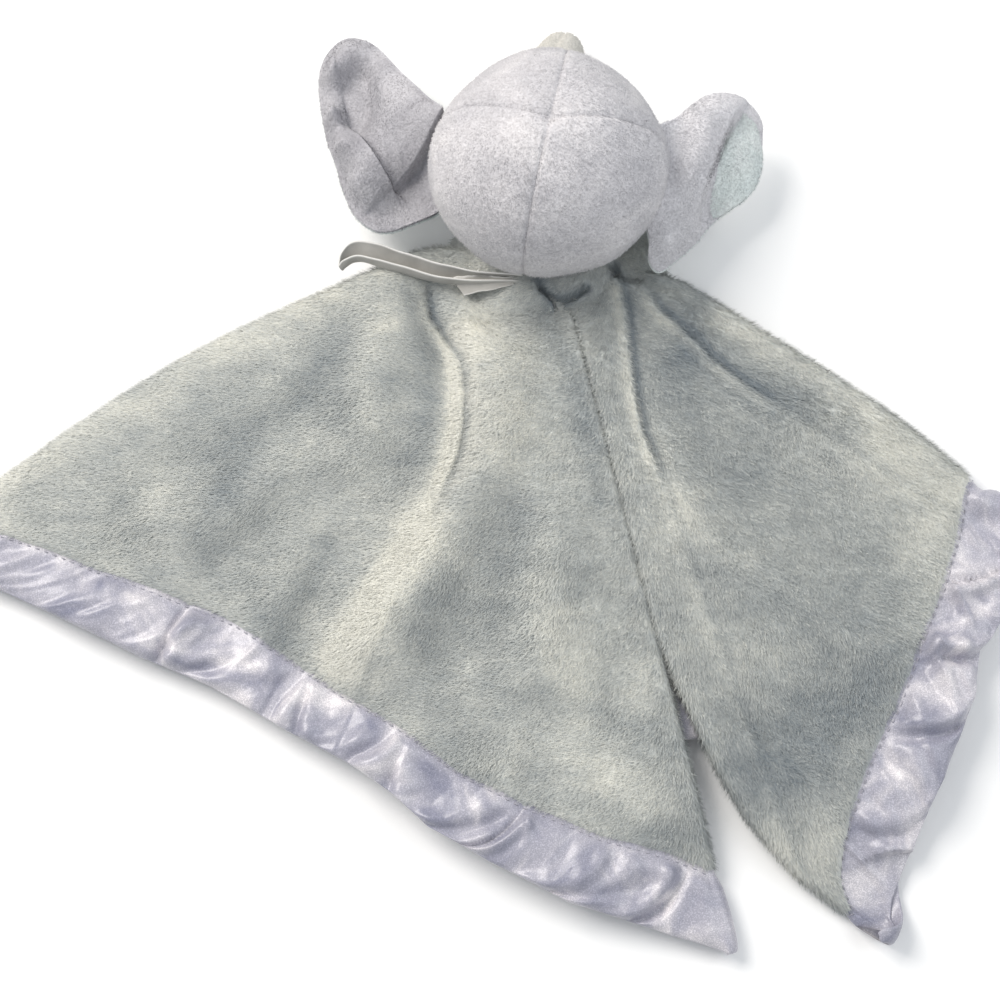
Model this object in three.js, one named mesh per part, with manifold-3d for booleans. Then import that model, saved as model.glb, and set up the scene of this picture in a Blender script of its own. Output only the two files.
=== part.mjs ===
// Comfort blanket: a stuffed long-nosed animal head sewn to the centre of a satin-bound plush square,
// with all of the cloth folded to one side of the head. Millimetres, +Z up, the face looks along +Y.
// The origin lies on the resting plane, under the gathered centre of the cloth.

import * as THREE from 'three';
import { mergeVertices } from 'three/addons/utils/BufferGeometryUtils.js';
import Module from 'manifold-3d';

const wasm = await Module();
wasm.setup();

// Driving dimensions
const clothSide = 380;
const bindingWidth = 25.4;
const plushThickness = 3;
const plushBacking = 1.4;
const satinThickness = 0.5;
const clearance = 0.3;
const layerPitch = 3.5;
const gatherThickness = 1.7;
const gatherPitch = 2.1;
const gatherRadius = 20;
const gatherSpread = 50;
const fullLoftRadius = 62;
const foldLoft = 7;

const headHalfWidth = 40.5;
const headHalfDepth = 38;
const headHalfHeight = 38;
const headSkin = 2;
const footCut = 0.5;
const seamTurn = -8.5;
const headCentre = new THREE.Vector3(-1.5, 17, headHalfHeight - footCut);

const neckCentre = new THREE.Vector3(0, -9, 12);
const neckRadius = 10.5;
const neckPatchThickness = 2;
const neckPatchSpread = 50;
const skirtCentreY = -13;
const skirtHalfWidth = 18;
const skirtHalfDepth = 11;
const skirtHeight = 9;

const trunkRoot = new THREE.Vector3(1, 50, 20);
const trunkTip = new THREE.Vector3(5.5, 72, 8.2);
const trunkRootRadius = 11.2;
const trunkTipRadius = 7.8;
const trunkSkin = 1.6;
const trunkBendShares = { forward: 0.55, down: 0.4 };
const trunkOpenShare = 0.1;

const earThickness = 2;
const earRootGap = 0.7;
const eyeThread = 0.8;
const eyeRadius = 5;
const eyeSpread = 34;
const eyeLift = 14;

const labelThickness = 0.6;
const careLabelLength = 58;
const careLabelWidth = 12;
const careLabelLoft = 1.6;
const smallLabelLength = 19;
const smallLabelWidth = 10;
const careLabelRoot = new THREE.Vector3(-15, -21, 12);
const careLabelHeading = 168;
const smallLabelRoot = new THREE.Vector3(-15.8, -23.8, 8.9);
const smallLabelHeading = 172;

const overrun = 100;

// Materials
const material = (color, roughness) => new THREE.MeshStandardMaterial({ color, roughness, metalness: 0 });
const mintPlush = material(0xbfc4c0, 0.95);
const lavenderSatin = material(0xb9b4cd, 0.35);
const lavenderPlush = material(0xcdc8cd, 0.95);
const earPlush = material(0xc3bfc4, 0.95);
const earLining = material(0xd0d8d2, 0.9);
const nosePlush = material(0xbeb9af, 0.95);
const fibre = material(0xf0efea, 1);
const thread = material(0x5f5c66, 0.7);
const labelTape = material(0xebe7dd, 0.7);

// Helpers that turn meshes into solids and back
const degrees = THREE.MathUtils.degToRad;
const lerp = THREE.MathUtils.lerp;
const clamp = THREE.MathUtils.clamp;
const smooth = (x, from, to) => THREE.MathUtils.smoothstep(x, from, to);
const bump = (x, centre, width) => Math.exp(-(((x - centre) / width) ** 2));

function toSolid(geometry) {
  const bare = geometry.clone();
  bare.deleteAttribute('normal');
  bare.deleteAttribute('uv');
  const merged = mergeVertices(bare, 1e-4);
  const vertProperties = Float32Array.from(merged.attributes.position.array);
  const triVerts = Uint32Array.from(merged.index.array);
  return new wasm.Manifold(new wasm.Mesh({ numProp: 3, vertProperties, triVerts }));
}

function toGeometry(solid) {
  const mesh = solid.getMesh();
  const geometry = new THREE.BufferGeometry();
  geometry.setAttribute('position', new THREE.BufferAttribute(Float32Array.from(mesh.vertProperties), 3));
  geometry.setIndex(new THREE.BufferAttribute(Uint32Array.from(mesh.triVerts), 1));
  geometry.computeVertexNormals();
  return geometry;
}

// Joins rings of points into one closed surface: each ring is a closed loop, the rings form a row that
// either closes on itself or ends in two caps.
function joinRings(rings, closed, cap = capTriangles) {
  const count = rings[0].length;
  const positions = rings.flat().flatMap((p) => [p.x, p.y, p.z]);
  const index = [];
  const last = closed ? rings.length : rings.length - 1;
  for (let i = 0; i < last; i += 1) {
    const here = i * count;
    const next = ((i + 1) % rings.length) * count;
    for (let j = 0; j < count; j += 1) {
      const k = (j + 1) % count;
      index.push(here + j, here + k, next + k, here + j, next + k, next + j);
    }
  }
  if (!closed) {
    for (const [start, flip] of [[0, false], [(rings.length - 1) * count, true]]) {
      const outline = cap(rings[start / count]);
      for (const [a, b, c] of outline) {
        index.push(start + a, start + (flip ? b : c), start + (flip ? c : b));
      }
    }
  }
  const geometry = new THREE.BufferGeometry();
  geometry.setAttribute('position', new THREE.Float32BufferAttribute(positions, 3));
  geometry.setIndex(index);
  return outward(geometry);
}

// Triangulates a nearly flat ring of points in its own plane.
function capTriangles(ring) {
  const normal = new THREE.Vector3();
  ring.forEach((p, i) => normal.add(p.clone().cross(ring[(i + 1) % ring.length])));
  normal.normalize();
  const side = ring[1].clone().sub(ring[0]).normalize();
  side.addScaledVector(normal, -side.dot(normal)).normalize();
  const up = normal.clone().cross(side);
  const flat = ring.map((p) => new THREE.Vector2(p.dot(side), p.dot(up)));
  return THREE.ShapeUtils.triangulateShape(flat, []);
}

// Caps a ring that runs out along one side of a thin piece and back along the other.
function ladderTriangles(ring) {
  const last = ring.length - 1;
  return Array.from({ length: ring.length / 2 - 1 }, (_, i) => [
    [i, i + 1, last - i - 1],
    [i, last - i - 1, last - i],
  ]).flat();
}

// Turns a closed surface inside out where its volume comes out negative.
function outward(geometry) {
  const p = geometry.attributes.position;
  const index = geometry.index.array;
  const [a, b, c] = [new THREE.Vector3(), new THREE.Vector3(), new THREE.Vector3()];
  let volume = 0;
  for (let i = 0; i < index.length; i += 3) {
    a.fromBufferAttribute(p, index[i]);
    b.fromBufferAttribute(p, index[i + 1]);
    c.fromBufferAttribute(p, index[i + 2]);
    volume += a.dot(b.cross(c));
  }
  if (volume < 0) {
    for (let i = 0; i < index.length; i += 3) {
      [index[i + 1], index[i + 2]] = [index[i + 2], index[i + 1]];
    }
  }
  return geometry;
}

function ellipsoid(centre, x, y, z, columns, rows) {
  const geometry = new THREE.SphereGeometry(1, columns, rows);
  geometry.rotateX(Math.PI / 2);
  geometry.scale(x, y, z);
  geometry.translate(centre.x, centre.y, centre.z);
  return toSolid(geometry);
}

const ball = (centre, radius, columns, rows) => ellipsoid(centre, radius, radius, radius, columns, rows);

function block(minimum, maximum) {
  const size = maximum.clone().sub(minimum);
  const geometry = new THREE.BoxGeometry(size.x, size.y, size.z);
  geometry.translate(...minimum.clone().add(maximum).multiplyScalar(0.5).toArray());
  return toSolid(geometry);
}

const aboveGround = block(
  new THREE.Vector3(-overrun, -overrun, 0),
  new THREE.Vector3(overrun, overrun, overrun),
);

// The folded cloth. A ray is a straight line of the cloth from its centre to its hem. Nominal directions
// are in degrees, counter-clockwise from +X. Going round the cloth, the rays pass over the left panel,
// double back in a pleat under it, cross under the opening, double back under the right panel, and
// return beneath everything.
const foldA = -150.5;
const foldB = -78.4;
const pleatLeft = -99.5;
const pleatRight = -48.5;
const foldCAtHem = -66;
const foldCAtNeck = -77;
const foldCOpens = 120;
const foldM = -40.4;
const pleatEaseLeft = 24;
const pleatEaseRight = 7;
const swirlA = -21;
const swirlM = 16;
const halfSide = clothSide / 2;
const hiddenCornerDirection = -72;
const hiddenCornerWidth = 16;
const hiddenCornerShare = 0.36;
const reachShares = { a: 0.925, left: 0.985, front: 1.01, belly: 1.05, beforeB: 1.02, b: 0.935, pleat: 0.89,
  m2: 0.95, c: 0.99, right: 1.02, m: 1.03, under: 0.94 };
const bowA = -8;
const bowM = 7;
const bowStart = 20;
const bowEnd = 250;

// How far the rays run beside the centre, so that the folds leave the neck side by side
// and the outer ones bow out between the neck and the hem
function beside(direction, radius) {
  const bowed = Math.sin(Math.PI * clamp((radius - bowStart) / (bowEnd - bowStart), 0, 1)) ** 2;
  const straight = smooth(radius, 0, gatherSpread);
  if (direction < foldB) {
    return (swirlA * straight + bowA * bowed) * ((foldB - direction) / (foldB - foldA)) ** 2;
  }
  return (swirlM * straight + bowM * bowed) * Math.max(0, (direction - foldCAtHem) / (foldM - foldCAtHem));
}

const azimuthOf = (direction, radius) => degrees(direction) + Math.asin(beside(direction, radius) / radius);

const fullness = (radius) => smooth(radius, gatherRadius, fullLoftRadius);
const thicknessAt = (radius) => lerp(gatherThickness, plushThickness, fullness(radius));
const pitchAt = (radius) => lerp(gatherPitch, layerPitch, fullness(radius));
const loftAt = (radius) => lerp(gatherPitch, foldLoft, fullness(radius));
const foldC = (radius) => lerp(foldCAtNeck, foldCAtHem, smooth(radius, foldCOpens, halfSide * Math.SQRT2));

// Folds that stand up or sink in the top layer: how far, how wide to the right and to the left of the
// line that each follows in plan, and that line, all in shares of half the side
const foldShares = [
  { rise: 0.039, right: 0.04, left: 0.09,
    line: [[-0.15, -0.13], [-0.14, -0.23], [-0.14, -0.35], [-0.19, -0.52], [-0.25, -0.6], [-0.38, -0.78]] },
  { rise: -0.015, right: 0.04, left: 0.045,
    line: [[-0.24, -0.06], [-0.21, -0.17], [-0.17, -0.25], [-0.16, -0.36]] },
  { rise: 0.021, right: 0.045, left: 0.055, line: [[-0.28, -0.13], [-0.34, -0.3], [-0.41, -0.47]] },
  { rise: 0.022, right: 0.05, left: 0.075, line: [[-0.03, -0.42], [0, -0.6], [-0.04, -0.73], [-0.07, -0.87]] },
  { rise: 0.019, right: 0.05, left: 0.05, line: [[0.13, -0.32], [0.13, -0.41], [0.2, -0.53], [0.35, -0.79]] },
  { rise: 0.016, right: 0.075, left: 0.065, line: [[0.48, -0.33], [0.64, -0.44], [0.74, -0.55]] },
  { rise: 0.017, right: 0.05, left: 0.05, line: [[-0.4, -0.38], [-0.58, -0.48], [-0.68, -0.52]] },
];
const foldEndShare = 0.25;
const foldsFrom = 42;

// Nearest place on a line in plan: the distance, the side from 0 at its right to 1 at its left, and the
// share of the line before it
function besideLine(x, y, line) {
  let best = { distance: Infinity };
  for (let k = 0; k < line.length - 1; k += 1) {
    const [a, b] = [line[k], line[k + 1]].map(([u, v]) => new THREE.Vector2(u, v).multiplyScalar(halfSide));
    const span = b.clone().sub(a);
    const from = new THREE.Vector2(x, y).sub(a);
    const t = clamp(from.dot(span) / span.lengthSq(), 0, 1);
    const away = from.clone().addScaledVector(span, -t);
    if (away.length() < best.distance) {
      const side = span.cross(away) / Math.max(span.length() * away.length(), Number.EPSILON);
      best = { distance: away.length(), left: (side + 1) / 2, at: (k + t) / (line.length - 1) };
    }
  }
  return best;
}

// Height that the folds add to the top layer
function foldRise(direction, radius) {
  const azimuth = azimuthOf(direction, radius);
  const [x, y] = [radius * Math.cos(azimuth), radius * Math.sin(azimuth)];
  return smooth(radius, foldsFrom, fullLoftRadius) * foldShares.reduce((sum, fold) => {
    const { distance, left, at } = besideLine(x, y, fold.line);
    const width = halfSide * lerp(fold.right, fold.left, left);
    const ends = smooth(at, 0, foldEndShare) * (1 - smooth(at, 1 - foldEndShare, 1));
    return sum + halfSide * fold.rise * bump(distance, 0, width) * ends;
  }, 0);
}

// Height of the cloth's middle over the resting plane, in each of its layers
const baseHeight = (radius) => thicknessAt(radius) / 2;
const layerHeight = (layer) => (direction, radius) => baseHeight(radius) + layer * pitchAt(radius);

function topHeight(direction, radius) {
  const overPleat = 3 * pitchAt(radius);
  const covered = direction < foldB
    ? smooth(direction, pleatLeft - pleatEaseLeft, pleatLeft)
    : 1 - smooth(direction, pleatRight, pleatRight + pleatEaseRight);
  return baseHeight(radius) + lerp(loftAt(radius), overPleat, covered) + foldRise(direction, radius);
}

// A run of cloth lies flat between two folds. Angles of the cloth itself are counted from corner A.
function run(name, from, to, height, facing, cloth, count) {
  const rays = [];
  for (let i = 1; i <= count; i += 1) {
    const share = i / (count + 1);
    const angle = lerp(cloth[0], cloth[1], share);
    rays.push({ kind: 'run', name, from, to, height, facing, share, angle });
  }
  return rays;
}

// A fold turns the cloth over, round a half circle. side is +1 where it bulges to the right.
const turnSteps = [90, 30, -30, -90];
const cornerSteps = [90, 42, 0, -42, -90];
const cornerSplit = 0.2;
function fold(edge, side, from, to, facing, angle, corner) {
  const steps = corner ? cornerSteps : turnSteps;
  const rays = steps.map((turn) => ({ kind: 'fold', edge, side, from, to, facing, turn, angle }));
  if (!corner) {
    return rays;
  }
  rays[2].corner = corner;
  const before = { ...rays[2], corner: undefined, shift: -cornerSplit, ends: corner };
  const after = { ...rays[2], corner: undefined, shift: cornerSplit, starts: corner };
  rays.splice(2, 1, before, rays[2], after);
  return rays;
}

const fixed = (direction) => () => direction;
const [edgeA, edgeB, edgeC, edgeM] = [fixed(foldA), fixed(foldB), foldC, fixed(foldM)];
const [edgeLeft, edgeRight] = [fixed(pleatLeft), fixed(pleatRight)];
const [base, lower, upper] = [layerHeight(0), layerHeight(1), layerHeight(2)];
const pleatAngleLeft = 90 + (foldB - pleatLeft);
const pleatAngleRight = pleatAngleLeft + (pleatRight - pleatLeft);
const middleAngle = 225;
const cornerDAngle = 270;
const cornerDDirection = lerp(foldM, foldA, 45 / 135);

const rays = [
  ...run('left panel', edgeA, edgeB, topHeight, 1, [0, 90], 12),
  ...fold(edgeB, 1, topHeight, upper, 1, 90, 'B'),
  ...run('pleat', edgeB, edgeLeft, upper, -1, [90, pleatAngleLeft], 1),
  ...fold(edgeLeft, -1, upper, lower, -1, pleatAngleLeft),
  ...run('pleat', edgeLeft, edgeRight, lower, 1, [pleatAngleLeft, pleatAngleRight], 3),
  ...fold(edgeRight, 1, lower, upper, -1, pleatAngleRight),
  ...run('pleat', edgeRight, edgeC, upper, -1, [pleatAngleRight, 180], 1),
  ...fold(edgeC, -1, upper, topHeight, 1, 180, 'C'),
  ...run('right panel', edgeC, edgeM, topHeight, 1, [180, middleAngle], 6),
  ...fold(edgeM, 1, topHeight, base, 1, middleAngle),
  ...run('base', edgeM, fixed(cornerDDirection), base, -1, [middleAngle, cornerDAngle], 3),
  { kind: 'run', name: 'base', from: edgeM, to: edgeA, height: base, facing: -1, share: 45 / 135,
    angle: cornerDAngle, shift: -cornerSplit, ends: 'D' },
  { kind: 'run', name: 'base', from: edgeM, to: edgeA, height: base, facing: -1, share: 45 / 135,
    angle: cornerDAngle, shift: cornerSplit, starts: 'D' },
  ...run('base', fixed(cornerDDirection), edgeA, base, -1, [cornerDAngle, 360], 5),
  ...fold(edgeA, -1, base, topHeight, 1, 360, 'A'),
];

// Distance of the hem from the centre along a ray
function reach(ray) {
  const fromMiddle = ((ray.angle % 90) + 90) % 90 - 45;
  const full = halfSide / Math.cos(degrees(fromMiddle));
  const knots = [[0, reachShares.a], [20, reachShares.left], [45, reachShares.front], [68, reachShares.belly],
    [78, reachShares.beforeB], [90, reachShares.b], [pleatAngleLeft, reachShares.pleat], [135, reachShares.m2],
    [pleatAngleRight, reachShares.pleat], [180, reachShares.c], [202, reachShares.right],
    [middleAngle, reachShares.m], [240, reachShares.under], [315, reachShares.under], [360, reachShares.a]];
  const k = Math.min(knots.findLastIndex(([angle]) => ray.angle >= angle), knots.length - 2);
  const [[from, shareFrom], [to, shareTo]] = [knots[k], knots[k + 1]];
  const share = lerp(shareFrom, shareTo, (ray.angle - from) / (to - from));
  const direction = ray.kind === 'run' ? lerp(ray.from(halfSide), ray.to(halfSide), ray.share) : 0;
  const drawnIn = ray.name === 'base'
    ? hiddenCornerShare * bump(direction, hiddenCornerDirection, hiddenCornerWidth) : 0;
  return full * share * (1 - drawnIn);
}

// A point of the cloth: on a ray, at a distance from the centre, off the middle of its thickness
function clothPoint(ray, radius, offset) {
  let direction;
  let arc;
  let z;
  let normal;
  if (ray.kind === 'run') {
    direction = lerp(ray.from(radius), ray.to(radius), ray.share);
    arc = ray.shift ? -ray.shift : 0;
    z = ray.height(direction, radius);
    const step = 1;
    const slope = (ray.height(direction + step, radius) - ray.height(direction - step, radius))
      / (2 * degrees(step) * radius);
    normal = new THREE.Vector2(-slope, 1).normalize().multiplyScalar(ray.facing);
  } else {
    direction = ray.edge(radius);
    const zFrom = ray.from(direction, radius);
    const zTo = ray.to(direction, radius);
    const half = Math.abs(zFrom - zTo) / 2;
    const turn = degrees(ray.turn);
    arc = -ray.side * half * (1 - Math.cos(turn));
    z = (zFrom + zTo) / 2 + (zFrom - zTo) / 2 * Math.sin(turn);
    normal = new THREE.Vector2(ray.side * Math.cos(turn), Math.sign(zFrom - zTo) * Math.sin(turn));
    normal.multiplyScalar(ray.facing);
    if (ray.shift) {
      z -= ray.shift * Math.sign(zFrom - zTo);
    }
  }
  const azimuth = azimuthOf(direction, radius) + (arc + offset * normal.x) / radius;
  return new THREE.Vector3(radius * Math.cos(azimuth), radius * Math.sin(azimuth), z + offset * normal.y);
}

const bindingShare = 1 - bindingWidth / halfSide;
const stationShares = [0, 0.18, 0.42, 0.7, 1];

function plushRing(ray) {
  const hem = reach(ray);
  const inner = hem * bindingShare;
  const stations = stationShares.map((share) => lerp(gatherRadius, inner - clearance, share));
  const half = (radius) => thicknessAt(radius) / 2;
  const tongue = [inner, hem - satinThickness - 2 * clearance];
  const top = stations.map((r) => clothPoint(ray, r, half(r)));
  const bottom = stations.map((r) => clothPoint(ray, r, -half(r)));
  const tongueTop = tongue.map((r) => clothPoint(ray, r, plushBacking / 2));
  const tongueBottom = tongue.map((r) => clothPoint(ray, r, -plushBacking / 2));
  return [...top, ...tongueTop, ...tongueBottom.reverse(), ...bottom.reverse()];
}

function bindingRing(ray) {
  const hem = reach(ray);
  const inner = hem * bindingShare + clearance;
  const inside = plushBacking / 2 + clearance;
  const outside = inside + satinThickness;
  const outline = [[inner, outside], [hem - satinThickness, outside], [hem, 0],
    [hem - satinThickness, -outside], [inner, -outside], [inner, -inside],
    [hem - satinThickness - clearance, -inside], [hem - satinThickness - clearance, inside], [inner, inside]];
  return outline.map(([radius, offset]) => clothPoint(ray, radius, offset));
}

function blanketPlush() {
  const slab = toSolid(joinRings(rays.map(plushRing), true));
  const skirtCentre = new THREE.Vector3(0, skirtCentreY, 0);
  const skirt = ellipsoid(skirtCentre, skirtHalfWidth, skirtHalfDepth, skirtHeight, 12, 6);
  const dome = ball(neckCentre, neckRadius, 14, 8);
  return toGeometry(slab.add(skirt.add(dome).intersect(aboveGround)));
}

function binding(from, to) {
  const start = rays.findIndex((ray) => ray.starts === from);
  const around = [...rays.slice(start), ...rays.slice(0, start)];
  const end = around.findIndex((ray) => ray.ends === to);
  return joinRings(around.slice(0, end + 1).map(bindingRing), false);
}

// The head, wide behind and narrower toward the face. inset is the depth below its outer surface.
const faceNarrowingShare = 0.16;
const narrowingAt = (forward) => 1 - faceNarrowingShare * Math.max(0, forward) ** 1.5;
function headSolid(inset, columns, rows) {
  const geometry = new THREE.SphereGeometry(1, columns, rows);
  geometry.rotateX(Math.PI / 2);
  const p = geometry.attributes.position;
  for (let i = 0; i < p.count; i += 1) {
    const [x, y, z] = [p.getX(i), p.getY(i), p.getZ(i)];
    const halfWidth = narrowingAt(y) * (headHalfWidth - inset);
    p.setXYZ(i, x * halfWidth, y * (headHalfDepth - inset), z * (headHalfHeight - inset));
  }
  geometry.translate(headCentre.x, headCentre.y, headCentre.z);
  return toSolid(geometry);
}

const neckPatchOuter = neckRadius + clearance + neckPatchThickness;
const trunkSocket = ball(trunkRoot, trunkRootRadius + 2 * clearance, 28, 18);
const headOuter = headSolid(0, 28, 18);
const openings = ball(neckCentre, neckPatchOuter + clearance, 20, 12).add(trunkSocket);

// Each panel fills the quarter between two seams, which stand a little turned on the resting plane.
function headPanel(x, y) {
  const [near, far] = [clearance / 2, overrun];
  const quarter = block(
    new THREE.Vector3(Math.min(x * near, x * far), Math.min(y * near, y * far), 0),
    new THREE.Vector3(Math.max(x * near, x * far), Math.max(y * near, y * far), overrun),
  ).rotate([0, 0, seamTurn]).translate([headCentre.x, headCentre.y, 0]);
  return toGeometry(headOuter.subtract(headSolid(headSkin, 28, 18)).intersect(quarter).subtract(openings));
}

const headStuffing = () => toGeometry(headSolid(headSkin + 2 * clearance, 20, 14).subtract(openings));

// The patch closes the head over the neck: a bowl that faces away from the head's centre
function neckPatch() {
  const inner = neckRadius + clearance;
  const rim = degrees(neckPatchSpread);
  const steps = 5;
  const arc = (radius, from, to) => Array.from({ length: steps + 1 }, (_, i) => {
    const a = lerp(from, to, i / steps);
    return new THREE.Vector2(radius * Math.sin(a), radius * Math.cos(a));
  });
  const profile = [...arc(inner, 0, rim), ...arc(neckPatchOuter, rim, 0)];
  const geometry = mergeVertices(stripped(new THREE.LatheGeometry(profile, 20)), 1e-4);
  const axis = headCentre.clone().sub(neckCentre).setX(0).normalize();
  geometry.applyQuaternion(new THREE.Quaternion().setFromUnitVectors(new THREE.Vector3(0, 1, 0), axis));
  geometry.translate(neckCentre.x, neckCentre.y, neckCentre.z);
  return toGeometry(toSolid(outward(geometry)));
}

function stripped(geometry) {
  geometry.deleteAttribute('normal');
  geometry.deleteAttribute('uv');
  return geometry;
}

// The trunk: a ball in the face's socket, tapering forward and down to the resting plane
function trunkTube(inset) {
  const bend = new THREE.Vector3(
    trunkRoot.x,
    lerp(trunkRoot.y, trunkTip.y, trunkBendShares.forward),
    lerp(trunkRoot.z, trunkTip.z, trunkBendShares.down),
  );
  const path = new THREE.QuadraticBezierCurve3(trunkRoot, bend, trunkTip);
  const around = 14;
  const ring = (centre, direction, radius) => {
    const side = new THREE.Vector3(1, 0, 0).addScaledVector(direction, -direction.x).normalize();
    const up = direction.clone().cross(side);
    return Array.from({ length: around }, (_, i) => {
      const a = (2 * Math.PI * i) / around;
      const out = side.clone().multiplyScalar(Math.cos(a)).addScaledVector(up, Math.sin(a));
      return centre.clone().addScaledVector(out, radius);
    });
  };
  const rings = [];
  const domes = 5;
  const root = path.getTangent(0);
  for (let i = 1; i <= domes; i += 1) {
    const a = lerp(trunkOpenShare, 1, i / domes) * Math.PI / 2;
    const radius = trunkRootRadius - inset;
    const centre = trunkRoot.clone().addScaledVector(root, -radius * Math.cos(a));
    rings.push(ring(centre, root, radius * Math.sin(a)));
  }
  for (let i = 1; i <= 6; i += 1) {
    const t = i / 6;
    rings.push(ring(path.getPoint(t), path.getTangent(t), lerp(trunkRootRadius, trunkTipRadius, t) - inset));
  }
  const tip = path.getTangent(1);
  for (let i = 1; i < domes; i += 1) {
    const a = (i / domes) * Math.PI / 2;
    const radius = trunkTipRadius - inset;
    const centre = trunkTip.clone().addScaledVector(tip, radius * Math.sin(a));
    rings.push(ring(centre, tip, radius * Math.cos(a)));
  }
  return toSolid(joinRings(rings, false)).intersect(aboveGround);
}

const trunkOpening = () => ball(
  trunkRoot.clone().addScaledVector(new THREE.Vector3(0, -1, 0), trunkRootRadius), trunkRootRadius / 2, 16, 10,
);
const trunkSkinPiece = () => toGeometry(trunkTube(0).subtract(trunkTube(trunkSkin)).subtract(trunkOpening()));
const trunkStuffing = () => toGeometry(trunkTube(trunkSkin + clearance));

// An ear is two cloths, one behind the other. Its rim points are given from front to back.
const earRoots = {
  left: [new THREE.Vector3(-36, 31, 49), new THREE.Vector3(-37, -1, 32)],
  right: [new THREE.Vector3(33, 24, 49), new THREE.Vector3(35, -8, 31)],
};
const earRims = {
  left: [[-52, 58, 28], [-61, 71, 22], [-72, 74, 18], [-80, 61, 16], [-80, 44, 15], [-75, 24, 15],
    [-68, 8, 15], [-58, 2, 15], [-47, 4, 17]],
  right: [[46, 34, 34], [55, 44, 28], [64, 47, 22], [72, 41, 19], [74, 33, 18], [70, 20, 18], [63, 9, 18],
    [54, 2, 18], [46, -6, 18], [37, -14.5, 20]],
};
const earCurlShare = 0.55;
const earCurl = 34;
const earSag = 5;
const earEdgeShare = 0.03;

function earPoint(side, along, out) {
  const root = earRoots[side][0].clone().lerp(earRoots[side][1], along);
  const rim = new THREE.CatmullRomCurve3(earRims[side].map((p) => new THREE.Vector3(...p))).getPoint(along);
  const point = root.clone().lerp(rim, out);
  const middle = Math.sin(Math.PI * along);
  point.z += middle * (earCurl * Math.max(0, out - earCurlShare) ** 2 - earSag * Math.sin(Math.PI * out));
  return point;
}

function earLayer(side, near, far) {
  const [alongSteps, outSteps] = [16, 7];
  const normalAt = (a, b) => {
    const step = earEdgeShare / 2;
    const da = earPoint(side, a + step, b).sub(earPoint(side, a - step, b));
    const db = earPoint(side, a, b + step).sub(earPoint(side, a, b - step));
    return da.cross(db).normalize().multiplyScalar(side === 'left' ? -1 : 1);
  };
  const rings = [];
  for (let i = 0; i <= alongSteps; i += 1) {
    const a = lerp(earEdgeShare, 1 - earEdgeShare, i / alongSteps);
    const ring = [];
    for (let j = 0; j <= outSteps; j += 1) {
      const b = lerp(earEdgeShare, 1 - earEdgeShare, j / outSteps);
      ring.push(earPoint(side, a, b).addScaledVector(normalAt(a, b), near));
    }
    for (let j = outSteps; j >= 0; j -= 1) {
      const b = lerp(earEdgeShare, 1 - earEdgeShare, j / outSteps);
      ring.push(earPoint(side, a, b).addScaledVector(normalAt(a, b), far));
    }
    rings.push(ring);
  }
  const layer = toSolid(joinRings(rings, false, ladderTriangles));
  return toGeometry(layer.subtract(headSolid(-earRootGap, 28, 18)));
}

const earOuter = (side) => earLayer(side, clearance / 2, clearance / 2 + earThickness);
const earLiningPiece = (side) => earLayer(side, -clearance / 2, -clearance / 2 - earThickness);

// A closed eye: one curved line of stitching on the face
function stitchedEye(x) {
  const points = Array.from({ length: 9 }, (_, i) => {
    const sweep = lerp(-1, 1, i / 8);
    const azimuth = degrees(90 - x * eyeSpread) - sweep * x * eyeRadius / headHalfDepth;
    const height = degrees(eyeLift) - (1 - sweep * sweep) * (eyeRadius / 2) / headHalfHeight;
    const [ux, uy] = [Math.cos(azimuth) * Math.cos(height), Math.sin(azimuth) * Math.cos(height)];
    const lift = eyeThread + clearance;
    return new THREE.Vector3(
      headCentre.x + ux * narrowingAt(uy) * (headHalfWidth + lift),
      headCentre.y + uy * (headHalfDepth + lift),
      headCentre.z + Math.sin(height) * (headHalfHeight + lift),
    );
  });
  const path = new THREE.CatmullRomCurve3(points);
  const section = new THREE.Shape().absarc(0, 0, eyeThread, 0, 2 * Math.PI);
  const geometry = new THREE.ExtrudeGeometry(section, { steps: 8, curveSegments: 4, extrudePath: path });
  return toGeometry(toSolid(geometry));
}

// A label is one tape folded on itself: out from the seam and back
function foldedLabel(root, heading, length, width) {
  const leaf = labelThickness;
  const loft = careLabelLoft;
  const outer = loft / 2 + leaf;
  const shape = new THREE.Shape();
  shape.moveTo(0, -outer);
  shape.lineTo(length - outer, -outer);
  shape.absarc(length - outer, 0, outer, -Math.PI / 2, Math.PI / 2, false);
  shape.lineTo(0, outer);
  shape.lineTo(0, loft / 2);
  shape.lineTo(length - outer, loft / 2);
  shape.absarc(length - outer, 0, loft / 2, Math.PI / 2, -Math.PI / 2, true);
  shape.lineTo(0, -loft / 2);
  shape.closePath();
  const geometry = new THREE.ExtrudeGeometry(shape, { depth: width, bevelEnabled: false, curveSegments: 8 });
  geometry.translate(0, 0, -width / 2);
  geometry.rotateX(Math.PI / 2);
  geometry.rotateZ(degrees(heading));
  geometry.translate(root.x, root.y, root.z);
  return toGeometry(toSolid(geometry));
}

const careLabel = () => foldedLabel(careLabelRoot, careLabelHeading, careLabelLength, careLabelWidth);
const smallLabel = () => foldedLabel(smallLabelRoot, smallLabelHeading, smallLabelLength, smallLabelWidth);

// Scene graph
const lovey = new THREE.Group();
lovey.position.y = -skirtCentreY;
const add = (parent, name, geometry, look) => {
  const mesh = new THREE.Mesh(geometry, look);
  mesh.name = name;
  parent.add(mesh);
};

const blanket = new THREE.Group();
add(blanket, 'blanket_plush', blanketPlush(), mintPlush);
for (const [name, from, to] of [['binding_left', 'A', 'B'], ['binding_pleat', 'B', 'C'],
  ['binding_right', 'C', 'D'], ['binding_under', 'D', 'A']]) {
  add(blanket, name, binding(from, to), lavenderSatin);
}
add(blanket, 'small_label', smallLabel(), labelTape);
lovey.add(blanket);

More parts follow.
